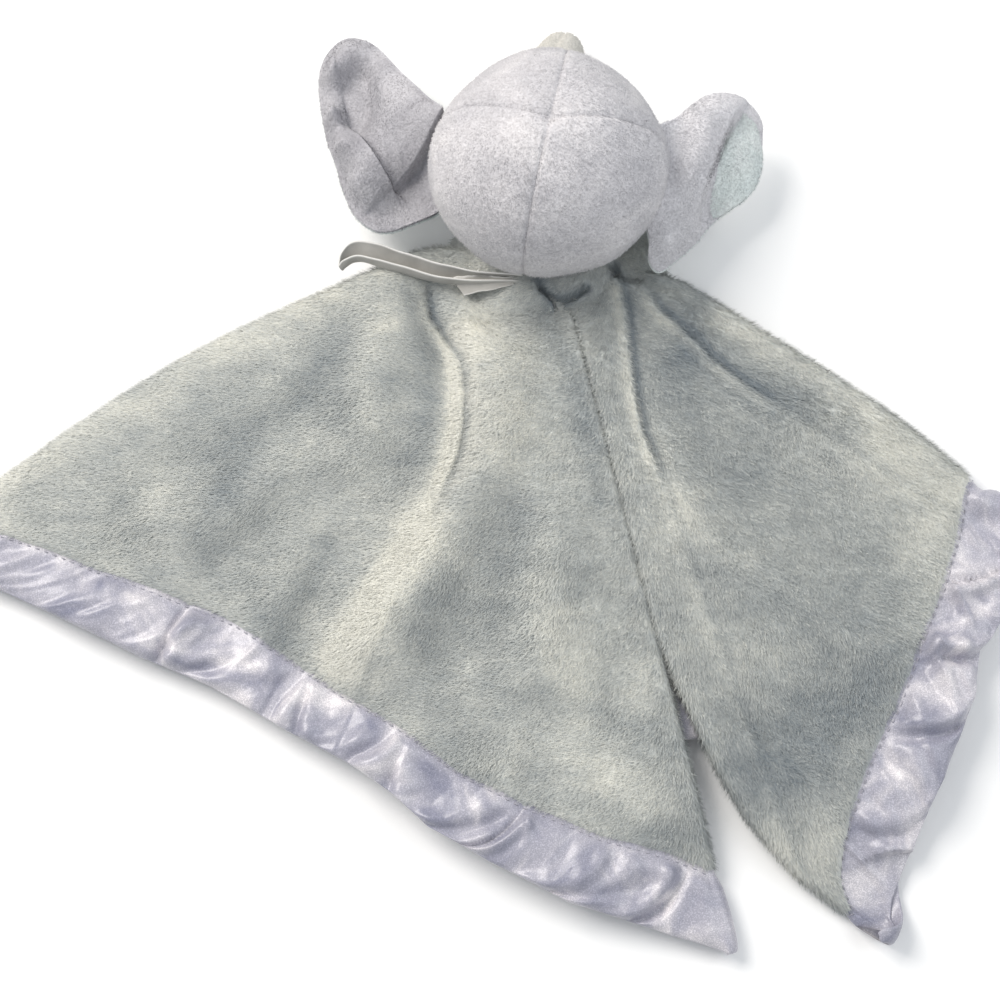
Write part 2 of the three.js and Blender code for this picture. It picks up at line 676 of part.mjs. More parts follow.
const label = new THREE.Group();
add(label, 'care_label', careLabel(), labelTape);
blanket.add(label);

const head = new THREE.Group();
add(head, 'neck_patch', neckPatch(), lavenderPlush);
for (const [name, x, y] of [['back_panel_left', -1, -1], ['back_panel_right', 1, -1],
  ['face_panel_left', -1, 1], ['face_panel_right', 1, 1]]) {
  add(head, name, headPanel(x, y), lavenderPlush);
}
add(head, 'head_stuffing', headStuffing(), fibre);
add(head, 'left_eye', stitchedEye(-1), thread);
add(head, 'right_eye', stitchedEye(1), thread);
lovey.add(head);

const trunk = new THREE.Group();
add(trunk, 'trunk_skin', trunkSkinPiece(), nosePlush);
add(trunk, 'trunk_stuffing', trunkStuffing(), fibre);
head.add(trunk);

for (const side of ['left', 'right']) {
  const ear = new THREE.Group();
  add(ear, `${side}_ear_outer`, earOuter(side), earPlush);
  add(ear, `${side}_ear_lining`, earLiningPiece(side), earLining);
  head.add(ear);
}

export default lovey;
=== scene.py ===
"""Comfort blanket: a plush head with floppy ears on a satin-bound plush square, folded to one side."""
import math

import bmesh
import bpy
import numpy as np
from mathutils import Matrix, Vector, noise


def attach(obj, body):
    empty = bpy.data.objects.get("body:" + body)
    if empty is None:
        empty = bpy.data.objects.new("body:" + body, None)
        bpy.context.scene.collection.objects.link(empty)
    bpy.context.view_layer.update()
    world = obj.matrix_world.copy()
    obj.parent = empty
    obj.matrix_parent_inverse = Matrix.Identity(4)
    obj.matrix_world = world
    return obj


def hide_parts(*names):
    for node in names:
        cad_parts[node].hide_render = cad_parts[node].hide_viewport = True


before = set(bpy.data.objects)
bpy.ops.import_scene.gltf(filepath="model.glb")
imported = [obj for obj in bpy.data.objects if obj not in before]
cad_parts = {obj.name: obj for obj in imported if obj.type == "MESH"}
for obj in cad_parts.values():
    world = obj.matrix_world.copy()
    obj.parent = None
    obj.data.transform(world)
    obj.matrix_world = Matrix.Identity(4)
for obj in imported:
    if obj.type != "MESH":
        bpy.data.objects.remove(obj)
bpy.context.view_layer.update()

# Lengths are in millimetres, measured from the line where the folds of the cloth meet.
# The frame's origin lies ORIGIN_BACK behind that line.
MM = 0.001
ORIGIN_BACK = 13.0
FINE = 2
TURN = 2 * math.pi


def smooth(x, low, high):
    t = np.clip((x - low) / (high - low), 0, 1)
    return t * t * (3 - 2 * t)


def lerp(a, b, t):
    return a + (b - a) * t


def bump(x, centre, width):
    return np.exp(-(((x - centre) / width) ** 2))


def unit(vectors):
    return vectors / np.maximum(np.linalg.norm(vectors, axis=-1, keepdims=True), 1e-9)


def wrap(angle):
    return (angle + math.pi) % TURN - math.pi


def angles(count):
    return np.linspace(0, TURN, count, endpoint=False)


def grid(rows, columns):
    return np.meshgrid(rows, columns, indexing="ij")


def lengths(line):
    """How far along a line each of its points lies."""
    return np.concatenate([[0], np.cumsum(np.linalg.norm(np.diff(line, axis=0), axis=1))])


def fractal(points, scale, octaves=3, seed=0.0):
    """Smooth noise from about -1 to 1 at points in millimetres, with features of about scale."""
    offset = Vector((seed * 17.3, seed * 5.7, seed * 9.1))
    flat = np.asarray(points, float).reshape(-1, 3) / scale
    values = [noise.fractal(Vector(p) + offset, 1.0, 2.0, octaves) for p in flat]
    return np.array(values).reshape(np.asarray(points).shape[:-1])


def link(obj):
    bpy.context.scene.collection.objects.link(obj)
    return obj


def make_object(name, points, faces, material):
    """A mesh object from points in millimetres, in the frame's place and with smooth faces."""
    placed = (np.asarray(points, float).reshape(-1, 3) + (0, ORIGIN_BACK, 0)) * MM
    mesh = bpy.data.meshes.new(name)
    mesh.from_pydata(placed.tolist(), [], [list(map(int, f)) for f in faces])
    mesh.polygons.foreach_set("use_smooth", [True] * len(mesh.polygons))
    mesh.materials.append(material)
    mesh.update()
    return link(bpy.data.objects.new(name, mesh))


def ring_faces(rings, count, closed):
    """Quads between neighbouring rings of count points, with capped ends where the row is open."""
    i, j = grid(np.arange(rings if closed else rings - 1), np.arange(count))
    k, n = (j + 1) % count, (i + 1) % rings
    quads = np.stack([i * count + j, i * count + k, n * count + k, n * count + j], -1).reshape(-1, 4).tolist()
    if not closed:
        quads += [list(range(count))[::-1], list(range((rings - 1) * count, rings * count))]
    return quads


def outward(obj):
    """Turns a closed mesh's faces to point out."""
    bm = bmesh.new()
    bm.from_mesh(obj.data)
    bmesh.ops.recalc_face_normals(bm, faces=bm.faces)
    bm.to_mesh(obj.data)
    bm.free()
    return obj


def make_grid(name, rings, closed, material):
    """A closed skin over rows of points, with its map laid out in the same rows."""
    rows, count = rings.shape[:2]
    obj = make_object(name, rings, ring_faces(rows, count, closed), material)
    last = rows if closed else rows - 1
    i, j = grid(np.arange(last), np.arange(count))
    corners = ((0, 0), (0, 1), (1, 1), (1, 0))
    cells = np.stack([np.stack([(i + a) / last, (j + b) / count], -1) for a, b in corners], 2)
    cells = 0.97 * cells.reshape(-1, 2)
    if not closed:
        turn = angles(count)
        cap = 0.985 + 0.01 * np.stack([np.cos(turn), np.sin(turn)], -1)
        cells = np.concatenate([cells, cap, cap - (0, 0.1)])
    obj.data.uv_layers.new(name="OFBake").uv.foreach_set("vector", cells.astype(np.float32).ravel())
    return outward(obj)


def paint(obj, values):
    """Gives each point a tone, from 0 for dark to 1 for light: the pile's random tone with painted light and shade in
    it.
    """
    tone_and_painted_light = obj.data.attributes.new("tone_and_painted_light", "FLOAT", "POINT")
    tone_and_painted_light.data.foreach_set("value", np.asarray(values, np.float32).ravel())


def belongs(obj, body, slot, node=None, fill=None):
    """Attaches a piece to the body that it rides on, and hides the node that it replaces; slot and fill are not used.
    """
    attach(obj, body)
    if node:
        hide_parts(node)
    return obj


# Camera: the photograph's angle and frame
CAMERA_ELEVATION, CAMERA_ROLL = 76.0, -1.55
CAMERA_DISTANCE, CAMERA_TARGET = 687.9, (-21.0, -90.5, 0.0)
CAMERA_LENS, CAMERA_SENSOR = 72.0, 36.0


def make_camera():
    data = bpy.data.cameras.new("camera")
    data.lens, data.sensor_width = CAMERA_LENS, CAMERA_SENSOR
    camera = link(bpy.data.objects.new("camera", data))
    e = math.radians(CAMERA_ELEVATION)
    back = Vector((0, -math.cos(e), math.sin(e)))
    target = (Vector(CAMERA_TARGET) + Vector((0, ORIGIN_BACK, 0))) * MM
    turn = (-back).to_track_quat("-Z", "Y").to_matrix().to_4x4()
    roll = Matrix.Rotation(math.radians(CAMERA_ROLL), 4, "Z")
    camera.matrix_world = Matrix.Translation(target + back * CAMERA_DISTANCE * MM) @ turn @ roll
    bpy.context.scene.camera = camera


# Materials
class Nodes:
    """A new material with short calls for its nodes. A colour is three numbers, or one for a grey."""

    def __init__(self, name, rough, **fixed):
        self.material = bpy.data.materials.new(name)
        self.material.use_nodes = True
        self.tree = self.material.node_tree
        self.shader = self.tree.nodes["Principled BSDF"]
        self.shader.inputs["Roughness"].default_value = rough
        for key, value in fixed.items():
            self.shader.inputs[key.replace("_", " ")].default_value = value
        self.place = self.add("ShaderNodeTexCoord").outputs["Object"]

    def add(self, kind, inputs=None, **settings):
        node = self.tree.nodes.new(kind)
        for key, value in settings.items():
            setattr(node, key, value)
        for key, value in (inputs or {}).items():
            self.feed(node, key, value)
        return node

    def feed(self, node, key, value):
        if isinstance(value, bpy.types.NodeSocket):
            self.tree.links.new(value, node.inputs[key])
        else:
            node.inputs[key].default_value = value

    def noise(self, scale, detail=3.0, distortion=0.0):
        return self.add("ShaderNodeTexNoise", {"Vector": self.place, "Scale": scale, "Detail": detail,
                                               "Distortion": distortion}).outputs["Fac"]

    def wave(self, scale, distortion, direction="DIAGONAL"):
        return self.add("ShaderNodeTexWave", {"Vector": self.place, "Scale": scale, "Distortion": distortion},
                        bands_direction=direction).outputs["Fac"]

    def ramp(self, factor, *stops):
        node = self.add("ShaderNodeValToRGB", {"Fac": factor})
        elements = node.color_ramp.elements
        while len(elements) < len(stops):
            elements.new(0.5)
        for element, (at, colour) in zip(elements, stops):
            element.position = at
            element.color = (*(colour if isinstance(colour, tuple) else (colour,) * 3), 1.0)
        return node.outputs["Color"]

    def mix(self, factor, a, b, blend="MIX"):
        node = self.add("ShaderNodeMix", data_type="RGBA", blend_type=blend)
        for key, value in ((0, factor), (6, a), (7, b)):
            self.feed(node, key, (*value, 1.0) if isinstance(value, tuple) else value)
        return node.outputs[2]

    def math(self, operation, a, b):
        return self.add("ShaderNodeMath", {0: a, 1: b}, operation=operation).outputs[0]

    def bump(self, height, strength, distance, under=None):
        node = self.add("ShaderNodeBump", {"Height": height, "Strength": strength, "Distance": distance})
        if under is not None:
            self.feed(node, "Normal", under)
        return node.outputs["Normal"]

    def done(self, colour, normal=None):
        self.feed(self.shader, "Base Color", colour)
        if normal is not None:
            self.feed(self.shader, "Normal", normal)
        return self.material


def plush_material(name, tones, pile_scale=1300.0, sheen=0.3, patch_scale=55.0):
    """Pile fabric: soft patches where the pile lies another way, and a fine mottle of its fibres."""
    m = Nodes(name, 0.92, Sheen_Weight=sheen, Sheen_Roughness=0.45, Specular_IOR_Level=0.2)
    patches = m.noise(patch_scale, distortion=0.6)
    fibres = m.noise(pile_scale, 4.0)
    base = m.ramp(patches, *zip((0.3, 0.52, 0.74), tones))
    speck = m.ramp(fibres, (0.3, 0.78), (0.7, 1.12))
    relief = m.bump(patches, 0.15, 0.002, m.bump(fibres, 0.6, 0.0007))
    return m.done(m.mix(0.8, base, speck, "MULTIPLY"), relief)


def pile_material_with_painted_light(name, pile_scale, sheen, relief):
    """Deep pile whose colour runs from a bluish painted shade to a creamy painted highlight, following the painted
    light and shade on the cloth and soft random patches.
    """
    m = Nodes(name, 0.9, Sheen_Weight=sheen, Sheen_Roughness=0.45, Specular_IOR_Level=0.2)
    tone_and_painted_light = m.add("ShaderNodeAttribute", attribute_name="tone_and_painted_light").outputs["Fac"]
    patches = m.noise(75.0, distortion=0.6)
    fibres = m.noise(pile_scale)
    # The tone carries painted light and shade; the patches on top of it are random.
    mixed = m.math("ADD", tone_and_painted_light, m.math("MULTIPLY", m.math("SUBTRACT", patches, 0.5), 0.3))
    base = m.ramp(mixed, *zip((0.08, 0.36, 0.62, 0.95), MINT_PAINTED_SHADE_TO_LIGHT))
    speck = m.ramp(fibres, (0.32, (0.88, 0.89, 0.9)), (0.68, (1.07, 1.07, 1.06)))
    return m.done(m.mix(0.8, base, speck, "MULTIPLY"), m.bump(fibres, relief, 0.0005))


def satin_material():
    """Satin: a tight weave with soft colour shifts, and painted glints, fine specks lighter than the cloth that stand
    in for its sparkle.
    """
    m = Nodes("lavender_satin", 0.34, Sheen_Weight=0.25, Sheen_Roughness=0.3, Anisotropic=0.4,
              Specular_IOR_Level=0.75)
    base = m.ramp(m.noise(42.0, distortion=1.2), *zip((0.28, 0.48, 0.68), SATIN))
    # Painted glints: specks lighter than the satin, some past its own colour, as painted highlights.
    painted_glints = m.ramp(m.noise(2400.0, 2.0), (0.36, (0.84, 0.85, 0.88)), (0.5, (0.97, 0.97, 0.98)), (0.68, 1.42))
    relief = m.bump(m.wave(900.0, 1.5), 0.08, 0.0003, m.bump(m.noise(150.0, distortion=0.8), 0.3, 0.0012))
    return m.done(m.mix(0.9, base, painted_glints, "MULTIPLY"), relief)


def thread_material(name, colour):
    m = Nodes(name, 0.55, Sheen_Weight=0.3)
    twist = m.wave(700.0, 1.0)
    return m.done(m.ramp(twist, (0.2, tuple(0.7 * c for c in colour)), (0.8, colour)), m.bump(twist, 0.5, 0.0004))


def tape_material():
    """Label tape: grey cream with a fine rib, its faces darkened as painted shade, and painted highlights along its
    edges.
    """
    m = Nodes("label_tape", 0.6, Sheen_Weight=0.15)
    rib = m.wave(1100.0, 0.4, "X")
    # The body's greys are darker than the tape itself, as painted shade on its faces.
    base = m.ramp(m.noise(90.0), (0.3, (0.36, 0.348, 0.325)), (0.65, (0.50, 0.487, 0.455)))
    place = m.add("ShaderNodeUVMap", uv_map="OFBake").outputs["UV"]
    across = m.add("ShaderNodeSeparateXYZ", {0: place}).outputs["Y"]
    # Painted highlights along both edges of each leaf, where the light catches them.
    edge = m.ramp(across, (0.0, 1.0), (0.05, 0.0), (0.42, 0.0), (0.47, 1.0), (0.5, 1.0), (0.55, 0.0), (0.91, 0.0),
                  (0.96, 1.0))
    base = m.mix(edge, base, (0.86, 0.85, 0.82))
    return m.done(m.mix(0.25, base, m.ramp(rib, (0.3, 0.8), (0.7, 1.05)), "MULTIPLY"), m.bump(rib, 0.2, 0.0002))


# The blanket's mint runs from a bluish painted shade, through the cloth's own greens, to a creamy painted highlight.
MINT_PAINTED_SHADE_TO_LIGHT = ((0.29, 0.325, 0.35), (0.45, 0.475, 0.475), (0.62, 0.635, 0.61), (0.88, 0.87, 0.80))
SATIN = ((0.24, 0.243, 0.315), (0.42, 0.41, 0.465), (0.72, 0.685, 0.70))
LAVENDER = ((0.60, 0.585, 0.61), (0.70, 0.68, 0.70), (0.80, 0.775, 0.785))
EAR = ((0.42, 0.41, 0.44), (0.51, 0.50, 0.53), (0.63, 0.615, 0.64))
# The right ear's outer cloth: the ear's own cloth painted lighter, as painted light for the light that it catches.
EAR_PAINTED_LIT = ((0.67, 0.655, 0.68), (0.77, 0.755, 0.78), (0.87, 0.85, 0.875))
LINING = ((0.82, 0.88, 0.87), (0.88, 0.93, 0.91), (0.94, 0.965, 0.95))
NOSE = ((0.62, 0.60, 0.55), (0.73, 0.705, 0.65), (0.83, 0.80, 0.75))
FIBRE = ((0.7, 0.69, 0.66), (0.8, 0.79, 0.76), (0.87, 0.86, 0.84))

mint_plush = pile_material_with_painted_light("mint_plush", 1100.0, 0.3, 0.5)
mint_pile = pile_material_with_painted_light("mint_pile", 1900.0, 0.4, 0.2)
lavender_plush = plush_material("lavender_plush", LAVENDER)
ear_plush = plush_material("ear_plush", EAR)
ear_plush_painted_lit = plush_material("ear_plush_painted_lit", EAR_PAINTED_LIT)
ear_lining = plush_material("ear_lining", LINING)
nose_plush = plush_material("nose_plush", NOSE, patch_scale=70.0)
fibre_fill = plush_material("fibre_fill", FIBRE, 500.0, 0.2, 38.0)
satin = satin_material()
seam_thread = thread_material("seam_thread", (0.62, 0.60, 0.64))
binding_thread = thread_material("binding_thread", (0.50, 0.49, 0.56))
eye_thread = thread_material("eye_thread", (0.36, 0.34, 0.38))
label_tape = tape_material()

# The folded cloth, as in the frame: rays from the centre to the hem, in degrees from +X
CLOTH_SIDE = 380.0
HALF_SIDE = CLOTH_SIDE / 2
CLOTH_HALF, GATHER_HALF, BACKING_HALF = 1.1, 0.8, 0.5
LAYER_PITCH, GATHER_PITCH = 3.5, 2.1
GATHER_RADIUS, FULL_LOFT_RADIUS = 17.0, 62.0
FOLD_LOFT, BASE_HEIGHT = 7.0, 1.5
GATHER_SPREAD = 50.0
FOLD_A, FOLD_B, FOLD_M = -150.5, -78.4, -40.4
PLEAT_LEFT, PLEAT_RIGHT = -99.5, -48.5
PLEAT_EASE_LEFT, PLEAT_EASE_RIGHT = 24.0, 7.0
FOLD_C_HEM = -66.0
FOLD_C_LINE = ((110, -79), (129, -79), (139, -78.2), (152, -77.4), (171, -76.4), (188, -75.6), (198, -75),
               (210, -74.1), (220, -73), (229, -72), (238, -70.8), (244, -69.9), (251, -69), (268, -66.3))
FOLD_C_GAP = 0.8
SWIRL_A, SWIRL_M = -21.0, 16.0
HIDDEN_DIRECTION, HIDDEN_WIDTH, HIDDEN_SHARE = -72.0, 16.0, 0.36
PLEAT_ANGLE_LEFT = 90 + FOLD_B - PLEAT_LEFT
PLEAT_ANGLE_RIGHT = PLEAT_ANGLE_LEFT + PLEAT_RIGHT - PLEAT_LEFT

# The hem and its line of stitches: a share of the flat square's reach at angles round the cloth
HEM_KNOTS = (
    (0, 0.925), (12, 0.963), (16.5, 0.976), (24, 0.993), (32, 0.997), (42, 1.016), (50, 1.022), (55, 1.033),
    (60, 1.055), (67, 1.053), (75, 1.037), (81, 1.0), (85, 0.972), (90, 0.93),
    (PLEAT_ANGLE_LEFT, 0.89), (135, 0.95), (PLEAT_ANGLE_RIGHT, 0.89), (180, 1.006), (182.5, 0.996),
    (184.3, 1.008), (187.2, 1.027), (190.7, 1.047), (194.5, 1.06), (199, 1.07), (204, 1.07), (207.4, 1.066),
    (209.1, 1.054), (211.5, 1.035), (213.2, 1.042), (216, 1.042), (219, 1.032), (225, 1.01),
    (240, 0.94), (315, 0.94), (360, 0.925),
)
STITCH_KNOTS = (
    (0, 0.845), (4, 0.854), (14, 0.872), (31, 0.875), (37, 0.892), (46, 0.913), (54, 0.921), (62.4, 0.94),
    (70, 0.931), (78.6, 0.903), (90, 0.825), (PLEAT_ANGLE_LEFT, 0.771), (135, 0.823), (PLEAT_ANGLE_RIGHT, 0.771),
    (180, 0.922), (182.5, 0.923), (186.7, 0.937), (191, 0.946), (197.7, 0.948), (200.8, 0.951), (203.2, 0.945),
    (206.4, 0.935), (209.7, 0.926), (213.3, 0.917), (216, 0.903), (219.5, 0.891), (222.5, 0.873), (225, 0.862),
    (240, 0.814), (315, 0.814), (360, 0.845),
)
BOW_A, BOW_M, BOW_START, BOW_END = -8.0, 7.0, 20.0, 250.0

# Wrinkles and ridges of the upper layers: height, half width on each side, and the line that each follows
RIDGES = (
    (6.5, (4.0, 10.0), 20.0, ((-27, -18), (-29, -30), (-27, -44), (-27, -67), (-36, -99), (-46, -113), (-66, -142),
                              (-76, -156))),
    (-2.6, 7.0, 5.0, ((-48, -6), (-43, -20), (-38, -36), (-34, -52), (-34, -76), (-44, -104))),
    (3.0, 10.0, 12.0, ((-54, -24), (-65, -57), (-78, -90))),
    (-2.2, 12.0, 14.0, ((-19, -87), (-34, -130), (-39, -160))),
    (3.2, 9.0, 14.0, ((-6, -80), (-1, -115), (-7, -139), (-14, -166))),
    (2.4, 10.0, 10.0, ((33, -70), (40, -90), (50, -110), (66, -140))),
    (-1.4, 12.0, 14.0, ((48, -40), (62, -50), (84, -64))),
    (2.6, 14.0, 12.0, ((92, -62), (122, -84), (140, -104))),
    (-3.0, 16.0, 16.0, ((61, -182), (76, -164), (94, -144))),
    (-2.0, 9.0, 10.0, ((-70, -44), (-101, -67), (-151, -86))),
    (2.6, 10.0, 10.0, ((-84, -78), (-118, -96), (-140, -104))),
    (-1.0, 5.0, 7.0, ((-92, -88), (-101, -100), (-122, -121), (-130, -140))),
    (2.2, 8.0, 8.0, ((-84, -112), (-100, -132), (-108, -150))),
    (-1.6, 7.0, 8.0, ((-70, -98), (-82, -122), (-90, -142))),
)

# Painted light and shade on the pile, laid along the lit and the shaded sides of the folds: the amount, light above 0
# and shade below, the half width and the line that each patch follows
PAINTED_LIGHT_AND_SHADE = (
    (1.0, 7.5, ((-32, -33), (-33, -57), (-37, -78), (-46, -99), (-55, -116), (-66, -133), (-76, -146))),
    (0.7, 12, ((-50, -108), (-60, -126), (-70, -141))),
    (0.5, 11, ((-24, -19), (-20, -39), (-16, -65), (-14, -82))),
    (0.6, 9, ((-7, -124), (-2, -140), (3, -155))),
    (0.35, 10, ((6, -178), (22, -192), (32, -199))),
    (0.5, 7, ((-59, -11), (-89, -21), (-123, -41), (-157, -62), (-191, -84))),
    (0.5, 6, ((-56, -24), (-63, -36), (-68, -51), (-63, -63))),
    (0.7, 9, ((57, -31), (77, -43), (100, -60), (121, -81), (133, -94))),
    (0.7, 12, ((112, -89), (122, -104), (128, -118))),
    (0.5, 4, ((26, -59), (31, -73), (35, -87), (41, -101))),
    (0.3, 22, ((46, -102), (61, -116), (51, -136))),
    (0.6, 9, ((67, -211), (78, -220), (82, -206))),
    (-0.55, 7, ((-46, -20), (-43, -42), (-42, -60), (-48, -78))),
    (-0.5, 8, ((-77, -38), (-85, -50), (-98, -62), (-107, -73), (-113, -90))),
    (-0.25, 6, ((-119, -106), (-112, -121), (-102, -130))),
    (-0.35, 6, ((-79, -107), (-89, -125), (-94, -139))),
    (-0.3, 9, ((-47, -127), (-47, -147), (-41, -170))),
    (-0.35, 9, ((-13, -86), (-18, -114), (-22, -137))),
    (-0.6, 10, ((46, -39), (61, -54), (81, -61))),
    (-0.35, 14, ((56, -84), (69, -97))),
    (-0.7, 14, ((97, -161), (75, -179), (62, -185))),
    (-0.4, 7, ((50, -23), (41, -49), (45, -70))),
    (-0.5, 9, ((26, -210), (38, -200))),
    (-0.5, 5, ((-3, -27), (5, -47), (9, -69), (13, -94))),
    (-0.35, 12, ((59, -126), (95, -130))),
)
PAINTED_LIGHT_DEPTH = 0.42

# Sharp creases: how far the cloth drops beside each, the width of its edge, how far the drop goes on, and its line
CREASES = (
    (2.6, 0.7, 9.0, ((-45, -11), (-44, -17), (-43, -26), (-38.5, -33), (-34, -41), (-32.3, -47), (-32, -54),
                     (-32.4, -67), (-35, -78), (-41, -92))),
    (1.6, 0.7, 7.0, ((20, -12), (23, -17), (24.4, -28), (25, -41), (26, -56), (28, -70), (34, -90))),
    (1.0, 0.7, 7.0, ((30, -16), (36, -27), (45, -36), (52, -44), (63, -54), (74, -62))),
)

# Corners of the top layers come down to the resting plane, and the tip of one curls over
TIPS = ((107.0, -244.0), (51.0, -242.0))
TIP_REACH, TIP_DROP = 55.0, 5.0
CURL_FROM, CURL_WAY, CURL_RADIUS, CURL_HEIGHT = (102.0, -230.0), (0.89, -0.456), 4.5, 3.4
CURL_REACH, CURL_EASE, CURL_FLATTENING, LYING_HEIGHT = 30.0, (-20.0, -2.0), 0.35, 5.2


def beside(direction, radius):
    """How far a ray runs beside the centre: the outer folds leave the neck side by side and bow out."""
    bowed = np.sin(math.pi * np.clip((radius - BOW_START) / (BOW_END - BOW_START), 0, 1)) ** 2
    straight = smooth(radius, 0, GATHER_SPREAD)
    left = (SWIRL_A * straight + BOW_A * bowed) * (np.maximum(0, FOLD_B - direction) / (FOLD_B - FOLD_A)) ** 2
    right = (SWIRL_M * straight + BOW_M * bowed) * np.maximum(0, direction - FOLD_C_HEM) / (FOLD_M - FOLD_C_HEM)
    return np.where(direction < FOLD_B, left, right)


def fullness(radius):
    return smooth(radius, GATHER_RADIUS, FULL_LOFT_RADIUS)


def pitch(radius):
    return lerp(GATHER_PITCH, LAYER_PITCH, fullness(radius))


def layer(number):
    return lambda direction, radius: BASE_HEIGHT + number * pitch(radius) + 0 * direction


def upper_height(direction, radius):
    covered = np.where(direction < FOLD_B, smooth(direction, PLEAT_LEFT - PLEAT_EASE_LEFT, PLEAT_LEFT),
                       1 - smooth(direction, PLEAT_RIGHT, PLEAT_RIGHT + PLEAT_EASE_RIGHT))
    loft = lerp(GATHER_PITCH, FOLD_LOFT, fullness(radius))
    return BASE_HEIGHT + lerp(loft, 3 * pitch(radius), covered)


def fold_c(radius):
    return np.maximum(np.interp(radius, *zip(*FOLD_C_LINE)), FOLD_B + np.degrees(FOLD_C_GAP / radius))


def fixed(direction):
    return lambda radius: direction + 0 * radius


def thin_fold(radius):
    return pitch(radius) / 2


def lofty_fold(radius):
    return lerp(GATHER_PITCH, FOLD_LOFT, fullness(radius)) / 2


def run(name, start, end, height, facing, cloth, count, folds):
    """Rays of a stretch that lies flat between two folds."""
    shares = (np.arange(count) + 1) / (count + 1)
    return [dict(name=name, start=start, end=end, height=height, facing=facing, share=s, angle=lerp(*cloth, s),
                 folds=folds) for s in shares]


def set_back(ray, direction, radius):
    """How far a flat stretch draws in at its ends, to meet the rounds of its folds."""
    start, end = ray["start"](radius), ray["end"](radius)
    arc = 0 * radius
    for edge, half, way in ((start, ray["folds"][0], np.sign(end - start)),
                            (end, ray["folds"][1], np.sign(start - end))):
        if half is not None:
            apart = np.radians(np.abs(direction - edge)) * radius
            arc = arc + way * half(radius) * np.exp(-apart / (2.2 * half(radius)))
    return arc


def fold(edge, side, start, end, facing, angle, corner=None, fine=1):
    """Rays that go round a fold. side is 1 where the fold bulges to the right."""
    steps = 8 * fine + 1
    rays = [dict(name="fold", edge=edge, side=side, start=start, end=end, facing=facing,
                 turn=t, angle=angle) for t in np.linspace(90, -90, steps)]
    if corner:
        rays[steps // 2]["corner"] = corner
    return rays


def all_rays(fine):
    a, b, m = fixed(FOLD_A), fixed(FOLD_B), fixed(FOLD_M)
    left, right = fixed(PLEAT_LEFT), fixed(PLEAT_RIGHT)
    base, lower, upper = layer(0), layer(1), layer(2)
    top, thin, lofty = upper_height, thin_fold, lofty_fold
    corner_d = fixed(lerp(FOLD_M, FOLD_A, 45 / 135))
    rays = run("left", a, b, top, 1, (0, 90), 90 * fine, (lofty, thin))
    rays += fold(b, 1, top, upper, 1, 90, "B", fine)
    rays += run("pleat", b, left, upper, -1, (90, PLEAT_ANGLE_LEFT), 8 * fine, (thin, thin))
    rays += fold(left, -1, upper, lower, -1, PLEAT_ANGLE_LEFT, None, fine)
    rays += run("lower", left, right, lower, 1, (PLEAT_ANGLE_LEFT, PLEAT_ANGLE_RIGHT), 30 * fine, (thin, thin))
    rays += fold(right, 1, lower, upper, -1, PLEAT_ANGLE_RIGHT, None, fine)
    rays += run("pleat", right, fold_c, upper, -1, (PLEAT_ANGLE_RIGHT, 180), 8 * fine, (thin, thin))
    rays += fold(fold_c, -1, upper, top, 1, 180, "C", fine)
    rays += run("right", fold_c, m, top, 1, (180, 225), 45 * fine, (thin, lofty))
    rays += fold(m, 1, top, base, 1, 225, None, fine)
    rays += run("base", m, corner_d, base, -1, (225, 270), 12 * fine, (lofty, None))
    rays.append(dict(rays[-1], start=corner_d, end=corner_d, share=0.0, angle=270.0, corner="D", folds=(None, None)))
    rays += run("base", corner_d, a, base, -1, (270, 360), 24 * fine, (None, lofty))
    rays += fold(a, -1, base, top, 1, 360, "A", fine)
    return rays


def reach(ray, knots=HEM_KNOTS):
    """Distance of the hem, or of its line of stitches, from the centre along a ray."""
    from_middle = ray["angle"] % 90 - 45
    full = HALF_SIDE / math.cos(math.radians(from_middle))
    full *= np.interp(ray["angle"], *zip(*knots))
    if ray["name"] == "base":
        direction = lerp(ray["start"](HALF_SIDE), ray["end"](HALF_SIDE), ray["share"])
        full *= 1 - HIDDEN_SHARE * bump(direction, HIDDEN_DIRECTION, HIDDEN_WIDTH)
    return float(full)


def cloth_points(ray, radius, offset):
    """Points of the cloth on a ray, at distances from the centre and off the middle of its thickness."""
    radius = np.asarray(radius, float)
    offset = np.asarray(offset, float) + 0 * radius
    if ray["name"] != "fold":
        direction = lerp(ray["start"](radius), ray["end"](radius), ray["share"])
        z = ray["height"](direction, radius)
        step = 0.5
        rise = ray["height"](direction + step, radius) - ray["height"](direction - step, radius)
        slope = rise / (2 * math.radians(step) * radius)
        size = np.sqrt(1 + slope ** 2)
        across, up = -slope / size * ray["facing"], ray["facing"] / size
        arc = set_back(ray, direction, radius)
    else:
        direction = ray["edge"](radius)
        z_start, z_end = ray["start"](direction, radius), ray["end"](direction, radius)
        half, turn = np.abs(z_start - z_end) / 2, math.radians(ray["turn"])
        arc = -ray["side"] * half * (1 - math.cos(turn))
        z = (z_start + z_end) / 2 + (z_start - z_end) / 2 * math.sin(turn)
        across = ray["side"] * math.cos(turn) * ray["facing"] + 0 * radius
        up = np.sign(z_start - z_end) * math.sin(turn) * ray["facing"]
    azimuth = np.radians(direction) + np.arcsin(beside(direction, radius) / radius) + (arc + offset * across) / radius
    return np.stack([radius * np.cos(azimuth), radius * np.sin(azimuth), z + offset * up], -1)


